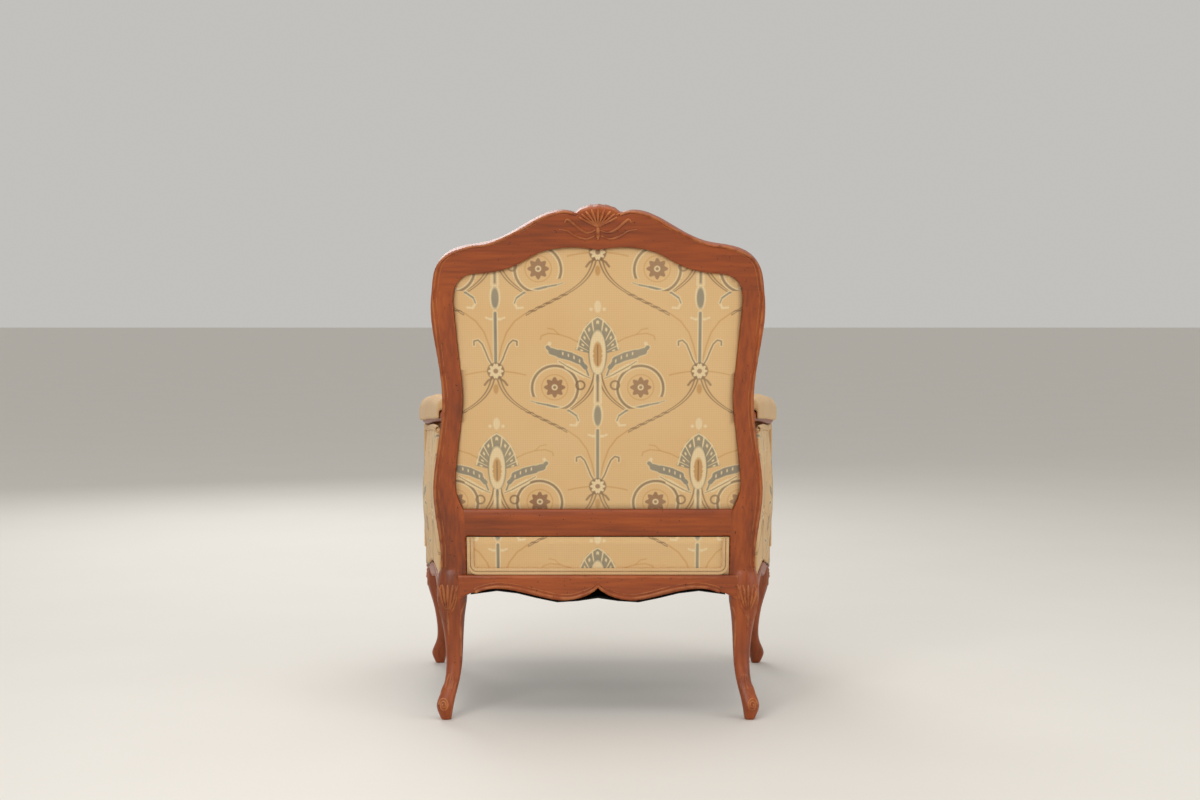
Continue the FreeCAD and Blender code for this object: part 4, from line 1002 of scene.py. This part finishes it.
def sweep(made: bmesh.types.BMesh, points: Sequence[Vector], radii: Sequence[Number],
          sides: int = 8) -> None:
    """Add a tapering round bar along points, closed at both ends.

    Args:
        made: the bmesh to which it is added.
        points: the bar's centre line.
        radii: its radius at each point; the last one serves the rest.
        sides: how many sides it has.
    """
    rings = []
    for number, point in enumerate(points):
        before = points[max(number - 1, 0)]
        after = points[min(number + 1, len(points) - 1)]
        along = (after - before).normalized()
        turn = Vector((0, 0, 1)).rotation_difference(along).to_matrix().to_4x4()
        circle = bmesh.ops.create_circle(
            made, segments=sides, radius=radii[min(number, len(radii) - 1)],
            matrix=Matrix.Translation(point) @ turn)
        rings.append(circle["verts"])
    for ring in (rings[0], rings[-1]):
        made.faces.new(ring)
    for first, second in zip(rings, rings[1:]):
        edges = {edge for vert in (*first, *second) for edge in vert.link_edges
                 if all(end in first for end in edge.verts)
                 or all(end in second for end in edge.verts)}
        bmesh.ops.bridge_loops(made, edges=list(edges))


def smooth_run(points: Sequence[Vector], steps: int = 6) -> list[Vector]:
    """More points on a smooth curve through the given ones.

    Args:
        points: the given points.
        steps: how many points each span gets.

    Returns:
        All the points.
    """
    result = []
    for number in range(len(points) - 1):
        a = points[max(number - 1, 0)]
        b, c = points[number], points[number + 1]
        d = points[min(number + 2, len(points) - 1)]
        for step in range(steps):
            t = step / steps
            result.append(0.5 * ((2 * b) + (c - a) * t + (2 * a - 5 * b + 4 * c - d) * t * t
                                 + (3 * b - a - 3 * c + d) * t ** 3))
    return result + [points[-1]]


def taper(count: int, full: Number, tip: Number = 0.3) -> list[Number]:
    """Radii that swell in the middle and thin out at both ends."""
    return [full * (tip + (1 - tip) * math.sin(math.pi * (number + 0.5) / count))
            for number in range(count)]


def met(points: Iterable[Vector | None]) -> list[Vector]:
    """The points of a run that meet the surface."""
    return [point for point in points if point is not None]


class Surface:
    """A finished piece onto which carving is laid."""

    def __init__(self, *surfaces: bpy.types.Object) -> None:
        """Read the meshes.

        Args:
            *surfaces: the pieces to carve.
        """
        made = bmesh.new()
        for piece in surfaces:
            made.from_mesh(piece.data)
        self.tree = BVHTree.FromBMesh(made)
        made.free()

    def seat(self, across: Number, height: Number, sink: Number, direction: Vector,
             start: Vector | None = None) -> Vector | None:
        """The point where a line meets the surface.

        Args:
            across: the line's x, if it has no start.
            height: the line's z, if it has no start.
            sink: how far the point is moved in from the surface.
            direction: the line's direction.
            start: where the line starts.

        Returns:
            The point, or None if the line passes by.
        """
        origin = start or Vector((across, 0.6, height))
        hit, normal, _, _ = self.tree.ray_cast(origin, direction, 1.0)
        if hit is None:
            return None
        return hit - normal * sink

    def trace(self, points: Sequence[Point], sink: Number) -> list[Vector]:
        """A smooth run laid on the surface from behind.

        Args:
            points: points of the run, as x and z.
            sink: how far the run lies in the surface.

        Returns:
            The run's points that meet the surface.
        """
        flat = [Vector((x, z, 0.0)) for x, z in points]
        return met(self.seat(point.x, point.y, sink, FORWARD) for point in smooth_run(flat))


@dataclass
class ShowFrame:
    """The carved show wood: crest, legs, back rail and seat rails."""
    finishes: Finishes
    voxel: Number = 0.0026
    frame_voxel: Number = 0.003
    rounds: int = 5
    tongue: Number = 0.005
    crest_joint: Number = 0.572
    joint_slope: Number = 0.19
    pieces: dict[str, bpy.types.Object] = field(default_factory=dict)

    def build(self) -> None:
        """Round every piece of show wood and lay the carving on it."""
        upright, across, deep = Axis.UPRIGHT, Axis.ACROSS, Axis.DEEP
        plan = {"lower_back_rail": across, "rear_seat_rail": across, "front_seat_rail": across}
        self.back_frame()
        for side, _ in SIDES:
            plan[f"front_leg_{side}"] = upright
            plan[f"side_seat_rail_{side}"] = deep
            plan[f"arm_rail_{side}"] = deep
        for node, axis in plan.items():
            voxel = self.voxel
            tongue = self.tongue if node in ("lower_back_rail", "rear_seat_rail") else 0.0
            piece = remade(node, f"{node}_shown", voxel, self.rounds, tongue=tongue)
            paint(piece, self.finishes.show[axis])
            self.pieces[node] = piece
        self.crest_mouldings()
        self.crest_shell()
        self.apron_bead()
        for side, way in SIDES:
            self.leg_carving(side, way)
            self.front_knee(side, way)

    def back_frame(self) -> None:
        """The crest rail and the two rear legs, worked over as one after glueing."""
        nodes = ("crest_rail", "rear_leg_left", "rear_leg_right")
        piece = piece_from(merged(*nodes), "back_frame_shown")
        rubbed_down(piece, self.frame_voxel, self.rounds)
        paint(piece, self.finishes.show[Axis.UPRIGHT])
        piece.data.materials.append(self.finishes.show[Axis.ACROSS])
        joint = back_point(0.0, self.crest_joint).z
        for face in piece.data.polygons:
            lean = (face.center.y - BACK_Y) * math.sin(RAKE) * self.joint_slope
            face.material_index = 1 if face.center.z + lean > joint else 0
        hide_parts(*nodes)
        for node in nodes:
            self.pieces[node] = piece

    def finish(self, made: bmesh.types.BMesh, name: str, axis: Axis) -> bpy.types.Object:
        """Make carved ridges a piece of show wood.

        Args:
            made: the ridges, which are freed.
            name: the piece's name.
            axis: the way of the grain.

        Returns:
            The piece.
        """
        piece = paint(piece_from(made, name), self.finishes.show[axis])
        return piece

    def crest_mouldings(self) -> None:
        """The rubbed bead round the back's rear outer edge."""
        outer = ((0.3125, 0.012), (0.312, 0.066), (0.322, 0.165), (0.3115, 0.255), (0.301, 0.345),
                 (0.310, 0.445), (0.319, 0.545), (0.316, 0.572), (0.3088, 0.610), (0.2919, 0.632),
                 (0.2510, 0.649), (0.2089, 0.656), (0.1480, 0.684), (0.1101, 0.706),
                 (0.0711, 0.717), (0.046, 0.712))
        made = bmesh.new()
        for _, way in SIDES:
            run = smooth_run([back_point(way * (x - 0.0045), up, 0.0) for x, up in outer], 5)
            sweep(made, run, [0.0024])
            low = [back_point(way * (x - 0.0115), up, -0.0004) for x, up in outer]
            sweep(made, smooth_run(low, 5), [0.0011])
        self.finish(made, "back_edge_bead", Axis.UPRIGHT)

    def crest_shell(self) -> None:
        """The small shell at the top: ribs that spread from a bud, and its border."""
        made = bmesh.new()
        foot = back_point(0.0, 0.688, 0.0006)
        for number in range(9):
            turn = math.pi * (0.06 + 0.88 * number / 8)
            tip = back_point(0.037 * math.cos(turn), 0.704 + 0.0195 * math.sin(turn), 0.0006)
            middle = foot.lerp(tip, 0.55) + Vector((0, 0.0006, 0))
            sweep(made, smooth_run([foot, middle, tip], 4), [0.0008, 0.0012, 0.0017, 0.0021,
                                                           0.0024, 0.0026, 0.0027, 0.0022, 0.0012])
        for _, way in SIDES:
            leaf = [back_point(way * x, up, 0.0004) for x, up in (
                (0.004, 0.683), (0.018, 0.678), (0.034, 0.684), (0.049, 0.697), (0.058, 0.703),
                (0.063, 0.697))]
            sweep(made, smooth_run(leaf, 4), taper(21, 0.0030))
            curl = [back_point(way * x, up, 0.0004) for x, up in (
                (0.006, 0.672), (0.022, 0.666), (0.041, 0.671), (0.058, 0.681), (0.074, 0.684))]
            sweep(made, smooth_run(curl, 4), taper(17, 0.0022))
        bud = [back_point(0.0, up, 0.0006) for up in (0.664, 0.671, 0.680, 0.688)]
        sweep(made, bud, [0.0015, 0.0035, 0.0042, 0.0026])
        self.finish(made, "crest_shell_carving", Axis.ACROSS)

    def apron_bead(self) -> None:
        """The bead on the serpentine edge, its pale line and the incised line above."""
        surface = Surface(self.pieces["rear_seat_rail"])
        half, low, rise = 0.262, 0.231, 0.025
        edge = ((0.0, 1.0), (0.05, 0.56), (0.165, 0.10), (0.25, 0.0), (0.36, 0.15), (0.57, 0.70),
                (0.73, 0.93), (0.86, 0.75), (0.93, 0.42))
        made = bmesh.new()
        for _, way in SIDES:
            for lift, radius in ((0.005, 0.0034), (0.0125, 0.0013)):
                points = [(way * share * half, low + up * rise + lift) for share, up in edge]
                run = surface.trace(points, radius * 0.25)
                if len(run) > 3:
                    sweep(made, run, [radius])
            top = surface.trace([(way * x, 0.2765) for x in (0.0, 0.08, 0.16, 0.25)], 0.0006)
            sweep(made, top, [0.0012])
        self.finish(made, "apron_carving", Axis.ACROSS)

    def leg_carving(self, side: str, way: Number) -> None:
        """Knee leaf, edge beads, ankle leaf and foot volute of a rear leg.

        Args:
            side: the leg's side.
            way: 1 on the left, -1 on the right.
        """
        surface = Surface(self.pieces[f"rear_leg_{side}"], self.pieces["rear_seat_rail"])
        made = bmesh.new()

        def lay(points: Sequence[Point], full: Number, tip: Number = 0.35) -> None:
            """Lay one tapering ridge on the leg.

            Args:
                points: points of the ridge, as x of the left leg and z.
                full: its greatest radius.
                tip: the share of it at the ends.
            """
            run = surface.trace([(way * x, z) for x, z in points], full * 0.3)
            if len(run) > 2:
                sweep(made, run, taper(len(run), full, tip))

        lay(((0.240, 0.243), (0.252, 0.236), (0.264, 0.222), (0.270, 0.203), (0.271, 0.180),
             (0.270, 0.150), (0.270, 0.120)), 0.0030, 0.6)
        for rib in range(5):
            spread = (rib - 2) * 0.0072
            lay(((0.296 + spread * 0.35, 0.214), (0.296 + spread * 0.8, 0.232),
                 (0.296 + spread * 1.15, 0.251), (0.296 + spread * 1.5, 0.263)), 0.0034)
        lay(((0.309, 0.262), (0.314, 0.240), (0.313, 0.215), (0.309, 0.190)), 0.0030)
        lay(((0.281, 0.262), (0.278, 0.243), (0.282, 0.222), (0.290, 0.206), (0.297, 0.196)),
            0.0026)
        lay(((0.296, 0.212), (0.296, 0.198), (0.295, 0.180), (0.294, 0.160)), 0.0030, 0.15)
        for x in (-0.009, -0.003, 0.003, 0.009):
            lay(((0.288 + x * 0.5, 0.088), (0.288 + x, 0.075), (0.291 + x * 1.1, 0.060)), 0.0024)
        lay(((0.303, 0.086), (0.304, 0.066), (0.309, 0.050)), 0.0024)
        spiral = self.volute(surface, way)
        if len(spiral) > 4:
            sweep(made, spiral, [0.0023])
        self.finish(made, f"rear_leg_carving_{side}", Axis.UPRIGHT)

    @staticmethod
    def volute(surface: Surface, way: Number, turns: Number = 2.1, last: int = 29) -> list[Vector]:
        """The scroll on the foot.

        Args:
            surface: the leg.
            way: 1 on the left, -1 on the right.
            turns: how often it goes round.
            last: the number of its last point.

        Returns:
            Its points on the leg, from the outside in.
        """
        across, height = way * 0.302, 0.031
        found = []
        for step in range(last + 1):
            turn = step / last * turns * 2 * math.pi
            reach = 0.0112 * (1.0 - 0.78 * step / last)
            found.append(surface.seat(across + way * reach * math.cos(turn) * 0.85,
                                      height + reach * math.sin(turn) * 1.15, 0.0004,
                                      FORWARD))
        return met(found)

    def front_knee(self, side: str, way: Number) -> None:
        """The flower and edge leaf on the outer face of the front knee.

        Args:
            side: the leg's side.
            way: 1 on the left, -1 on the right.
        """
        surface = Surface(self.pieces[f"front_leg_{side}"])
        made = bmesh.new()
        direction = Vector((-way, 0, 0))

        def hit(y: Number, z: Number) -> Vector | None:
            """A point of the knee's outer face."""
            return surface.seat(0.0, 0.0, 0.0006, direction, Vector((way * 0.6, y, z)))

        petals = 6
        for petal in range(petals):
            turn = petal / petals * 2 * math.pi
            run = met(hit(-0.327 + reach * math.cos(turn), 0.206 + reach * math.sin(turn))
                      for reach in (0.002, 0.006, 0.010, 0.0125))
            if len(run) > 2:
                sweep(made, run, [0.0016, 0.0030, 0.0030, 0.0014])
        for shift in (-1.0, 1.0):
            run = met(hit(-0.327 + shift * y, z) for y, z in
                      ((0.003, 0.190), (0.010, 0.180), (0.016, 0.186), (0.017, 0.200)))
            if len(run) > 2:
                sweep(made, smooth_run(run, 3), taper(10, 0.0024))
        self.finish(made, f"front_knee_carving_{side}", Axis.UPRIGHT)


@dataclass
class Upholstery:
    """The padded and covered parts of the chair."""
    finishes: Finishes
    pad_voxel: Number = 0.006
    panel_voxel: Number = 0.004
    cap_voxel: Number = 0.0022
    sheet_step: Number = 0.014
    sheet_thick: Number = 0.0012
    facing: Number = 0.3

    def build(self) -> None:
        """Build the back, arms, seat and cushion."""
        self.back_panels()
        self.back_pad()
        for side, way in SIDES:
            self.arm(side, way)
        self.seat()
        self.cushion()
        self.dust_cover()

    def puffed(self, node: str, cap: Number, lay: Lay, figured: bool,
               body: str = "frame", shrink: Number = 0.0, frames: int = 8,
               voxel: Number | None = None) -> bpy.types.Object:
        """A padded piece: a remeshed copy, blown out a little under pressure.

        Args:
            node: the CAD node that it replaces.
            cap: how far a point may move.
            lay: the plane of its cloth's pattern.
            figured: whether the cloth is the figured one.
            body: the body on which it rides.
            shrink: how far the start shape is drawn in.
            frames: how long the pressure acts.
            voxel: the size of the remesh, if not the usual one.

        Returns:
            The piece.
        """
        piece = remade(node, f"{node}_padded", voxel or self.pad_voxel, 4, body)
        data = piece.data
        for vert, normal in zip(data.vertices, [v.normal.copy() for v in data.vertices]):
            vert.co -= normal * shrink
        start = [vert.co.copy() for vert in data.vertices]
        if frames:
            self.blow(piece, frames)
            for vert, home in zip(piece.data.vertices, start):
                move = vert.co - home
                if move.length > cap:
                    vert.co = home + move * (cap / move.length)
        modified(piece, "SMOOTH", factor=0.5, iterations=3)
        smoothed(piece.data)
        self.cover(piece, lay, figured)
        return piece

    def cover(self, piece: bpy.types.Object, lay: Lay, figured: bool = False) -> bpy.types.Object:
        """Cover a piece in cloth.

        Args:
            piece: the piece.
            lay: the plane of the cloth's pattern.
            figured: whether the cloth is the figured one, not the plain one.

        Returns:
            The piece.
        """
        lay_cloth(piece, lay)
        paint(piece, self.finishes.figured if figured else self.finishes.plain)
        return piece

    @staticmethod
    def blow(piece: bpy.types.Object, frames: int) -> None:
        """Run a cloth under pressure and keep its last shape.

        Args:
            piece: the piece.
            frames: how long the pressure acts.
        """
        scene = bpy.context.scene
        cloth = piece.modifiers.new("Cloth", "CLOTH")
        cloth.settings.use_pressure = True
        cloth.settings.uniform_pressure_force = 4.0
        cloth.settings.quality = 4
        cloth.settings.effector_weights.gravity = 0.0
        cloth.point_cache.frame_start = 1
        cloth.point_cache.frame_end = frames
        for number in range(1, frames + 1):
            scene.frame_set(number)
        shape = piece.evaluated_get(bpy.context.evaluated_depsgraph_get())
        moved = [vert.co.copy() for vert in shape.data.vertices]
        piece.modifiers.clear()
        scene.frame_set(1)
        for vert, place in zip(piece.data.vertices, moved):
            vert.co = place

    def panel(self, node: str, normal: Vector, bulge: Callable[[Vector], Number],
              lay: Lay, figured: bool) -> bpy.types.Object:
        """A stretched cloth: the outer face of a CAD sheet, gridded and bulged.

        Args:
            node: the CAD node that it replaces.
            normal: the way its outer face looks.
            bulge: how far each of its points stands out.
            lay: the plane of its pattern.
            figured: whether the cloth is the figured one.

        Returns:
            The sheet.
        """
        made = mesh_of(node)
        spare = [face for face in made.faces if face.normal.dot(normal) <= self.facing]
        bmesh.ops.delete(made, geom=spare, context="FACES")
        corners = [vert.co.copy() for vert in made.verts]
        turn = Vector((1, 0, 0)) if abs(normal.x) < 0.5 else Vector((0, 1, 0))
        for axis in (turn, normal.cross(turn).normalized()):
            spans = [corner.dot(axis) for corner in corners]
            low, high = min(spans), max(spans)
            count = max(2, int((high - low) / self.sheet_step))
            for number in range(1, count):
                at = axis * (low + (high - low) * number / count)
                geom = [*made.verts, *made.edges, *made.faces]
                bmesh.ops.bisect_plane(made, geom=geom, dist=1e-6, plane_co=at, plane_no=axis)
        for vert in made.verts:
            vert.co += normal * bulge(vert.co)
        bmesh.ops.recalc_face_normals(made, faces=made.faces)
        if sum(face.normal.dot(normal) for face in made.faces) < 0:
            bmesh.ops.reverse_faces(made, faces=made.faces)
        size = sum(face.calc_area() for face in made.faces)
        piece = linked(made, f"{node}_sheet")
        smoothed(piece.data)
        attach(piece, "frame")
        thick = piece.modifiers.new("Thickness", "SOLIDIFY")
        thick.thickness = self.sheet_thick
        thick.offset = -1.0
        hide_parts(node)
        self.cover(piece, lay, figured)
        return piece

    def back_panels(self) -> None:
        """The outside back cloth, the lower back cloth and its double welt."""
        rear = Vector((0, math.cos(RAKE), -math.sin(RAKE)))

        def swell(point: Vector) -> Number:
            """The outside back's slight bulge.

            Args:
                point: a point of the cloth.

            Returns:
                How far it stands out.
            """
            up = (point - back_point(0, 0)).dot(Vector((0, math.sin(RAKE), math.cos(RAKE))))
            across = max(0.0, 1.0 - (point.x / 0.27) ** 2)
            height = max(0.0, 1.0 - ((up - 0.385) / 0.26) ** 2)
            return 0.004 * across * height

        self.panel("outside_back_panel", rear, swell, Lay.BACK, True)
        self.panel("lower_back_panel", rear, lambda point: 0.0006, Lay.BACK, True)
        self.lower_welt()

    def lower_welt(self) -> None:
        """The double welt down both sides of the lower back and along its foot."""
        made = bmesh.new()
        side, base, top, bend = 0.2577, -0.0027, 0.0747, 0.020
        for inset in (0.0036, 0.0106):
            points = [(side - inset, top - 0.001), (side - inset, (top + base) / 2),
                      (side - inset, base + bend)]
            for step in range(1, 6):
                turn = math.pi / 2 * step / 6
                reach = bend - inset
                points.append((side - bend + reach * math.cos(turn),
                               base + bend - reach * math.sin(turn)))
            points += [(side - bend, base + inset), (0.12, base + inset)]
            run = points + [(-x, up) for x, up in reversed(points)]
            sweep(made, [back_point(x, up, 0.0026) for x, up in run], [0.0034], 10)
        piece = self.cover(piece_from(made, "lower_back_double_welt"), Lay.BACK)
        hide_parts("lower_back_welt")

    def back_pad(self) -> None:
        """The inside back and its welt."""
        self.puffed("inside_back_pad", 0.006, Lay.BACK, True, shrink=0.001)
        welt = remade("inside_back_welt", "inside_back_welt_cords", 0.0018, 4)
        self.cover(welt, Lay.BACK)

    def arm(self, side: str, way: Number) -> None:
        """One arm's outside cloth, inside pad, cap, welts and corner cloth.

        Args:
            side: the arm's side.
            way: 1 on the left, -1 on the right.
        """
        self.puffed(f"outside_arm_panel_{side}", 0.002, Lay.SIDE, True, frames=0,
                    voxel=self.panel_voxel)
        self.puffed(f"inside_arm_pad_{side}", 0.004, Lay.SIDE, True, frames=0)
        self.puffed(f"arm_cap_{side}", 0.003, Lay.SIDE, False, frames=0,
                    voxel=self.cap_voxel)
        welt = remade(f"outside_arm_welt_{side}", f"outside_arm_welt_cords_{side}", 0.0013, 3)
        self.cover(welt, Lay.SIDE)
        self.panel(f"seat_corner_cloth_{side}", Vector((way, 0, 0)), lambda point: 0.0004,
                   Lay.SIDE, False)

    def seat(self) -> None:
        """The deck pad and the band of cloth along the front rail."""
        self.puffed("seat_deck", 0.002, Lay.SEAT, False, frames=0)
        self.panel("seat_front_cloth", FORWARD, lambda point: 0.0,
                   Lay.BACK, False)

    def cushion(self) -> None:
        """The loose seat cushion and its piping."""
        self.puffed("seat_cushion", 0.006, Lay.SEAT, True, "cushion", shrink=0.0015)
        for name in ("lower", "upper"):
            piping = remade(f"cushion_piping_{name}", f"cushion_cord_{name}", 0.0016, 4, "cushion")
            self.cover(piping, Lay.SEAT)

    def dust_cover(self) -> None:
        """The black cloth under the seat, sagging a little between its tacks."""
        def sag(point: Vector) -> Number:
            """How far the cloth hangs below the solid's underside.

            Args:
                point: a point of the cloth.

            Returns:
                The distance.
            """
            across = max(0.0, 1.0 - (point.x / 0.33) ** 2)
            deep = max(0.0, 1.0 - ((point.y + 0.055) / 0.28) ** 2)
            return 0.004 * across * deep

        piece = self.panel("dust_cover", Vector((0, 0, -1)), sag, Lay.SEAT, False)
        paint(piece, self.finishes.black)


@dataclass
class InnerWorks:
    """What the upholstery hides: posts, blocks, tenons, springs, webbing and canvas."""
    finishes: Finishes

    def dress(self) -> None:
        """Give every hidden node its finish."""
        raw, steel, jute = self.finishes.raw, self.finishes.steel, self.finishes.jute
        plan = (
            (raw[Axis.UPRIGHT], ("arm_post_left", "arm_post_right", "back_frame_tenons")),
            (raw[Axis.ACROSS], ("corner_block_front_left", "corner_block_front_right",
                                "corner_block_rear_left", "corner_block_rear_right",
                                "seat_frame_tenons")),
            (raw[Axis.DEEP], ("arm_frame_tenons",)),
            (steel, ("corner_block_screws", "seat_springs", "spring_clips")),
            (jute, ("spring_cover", "back_webbing", "back_canvas")))
        for material, nodes in plan:
            for node in nodes:
                paint(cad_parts[node], material)
                LOG.info("%s dressed", node)


@dataclass(frozen=True)
class Studio:
    """The pale floor, the soft light and the camera at the photograph's place."""
    eye: tuple[Number, Number, Number] = (0.0, 4.074, 0.8424)
    pitch: Number = 86.793
    lens: Number = 58.89
    shift: Number = 0.0017
    floor_reach: Number = 40.0
    surround: Number = 0.62

    def build(self) -> None:
        """Place the floor, the lights and the camera."""
        self.floor()
        self.world()
        self.lights()
        self.camera()

    def floor(self) -> None:
        """A plain pale floor."""
        made = bmesh.new()
        bmesh.ops.create_grid(made, x_segments=2, y_segments=2, size=self.floor_reach)
        floor = linked(made, "floor")
        maker = NodeMaker("pale_floor")
        tone = maker.noise(maker.place(), 3.0, 2.0)
        colour = maker.mix(tone * 0.3, srgb(226, 222, 215), srgb(214, 209, 201))
        paint(floor, maker.finish(colour, 0.75))

    def world(self) -> None:
        """A soft pale surround, plain to the camera."""
        world = bpy.data.worlds.new("studio")
        bpy.context.scene.world = world
        world.use_nodes = True
        background = world.node_tree.nodes["Background"]
        background.inputs[0].default_value = (*srgb(240, 238, 234), 1.0)
        background.inputs[1].default_value = self.surround

    def lights(self) -> None:
        """Four soft lamps: the key beside the camera, a fill, one in front and one above."""
        plan = (("key", (1.6, 4.2, 2.9), 2.2, 78.0), ("fill", (-3.2, 2.2, 1.6), 2.4, 30.0),
                ("front", (1.2, -3.4, 2.4), 2.0, 42.0), ("top", (0.0, 0.6, 3.4), 2.4, 34.0))
        for name, place, size, power in plan:
            lamp = bpy.data.lights.new(name, "AREA")
            lamp.energy = power
            lamp.size = size
            holder = self.held(name, lamp)
            holder.location = place
            aim = Vector((0, 0, 0.5)) - Vector(place)
            holder.rotation_euler = aim.to_track_quat("-Z", "Y").to_euler()

    @staticmethod
    def held(name: str, data: bpy.types.ID) -> bpy.types.Object:
        """A new object of the scene that holds a lamp or a camera.

        Args:
            name: its name.
            data: the lamp or camera.

        Returns:
            The object.
        """
        holder = bpy.data.objects.new(name, data)
        bpy.context.scene.collection.objects.link(holder)
        return holder

    def camera(self) -> None:
        """The camera where the photograph was taken."""
        lens = bpy.data.cameras.new("camera")
        lens.lens = self.lens
        lens.sensor_width = 36.0
        lens.shift_x = self.shift
        holder = self.held("camera", lens)
        holder.location = self.eye
        holder.rotation_euler = (math.radians(self.pitch), 0.0, math.pi)
        bpy.context.scene.camera = holder
        bpy.context.scene.view_settings.view_transform = "Standard"


def main() -> None:
    """Build the chair and the studio."""
    logging.basicConfig(level=logging.INFO, format="%(message)s")
    finishes = Finishes()
    ShowFrame(finishes).build()
    Upholstery(finishes).build()
    InnerWorks(finishes).dress()
    Studio().build()


if __name__ == "__main__":
    main()
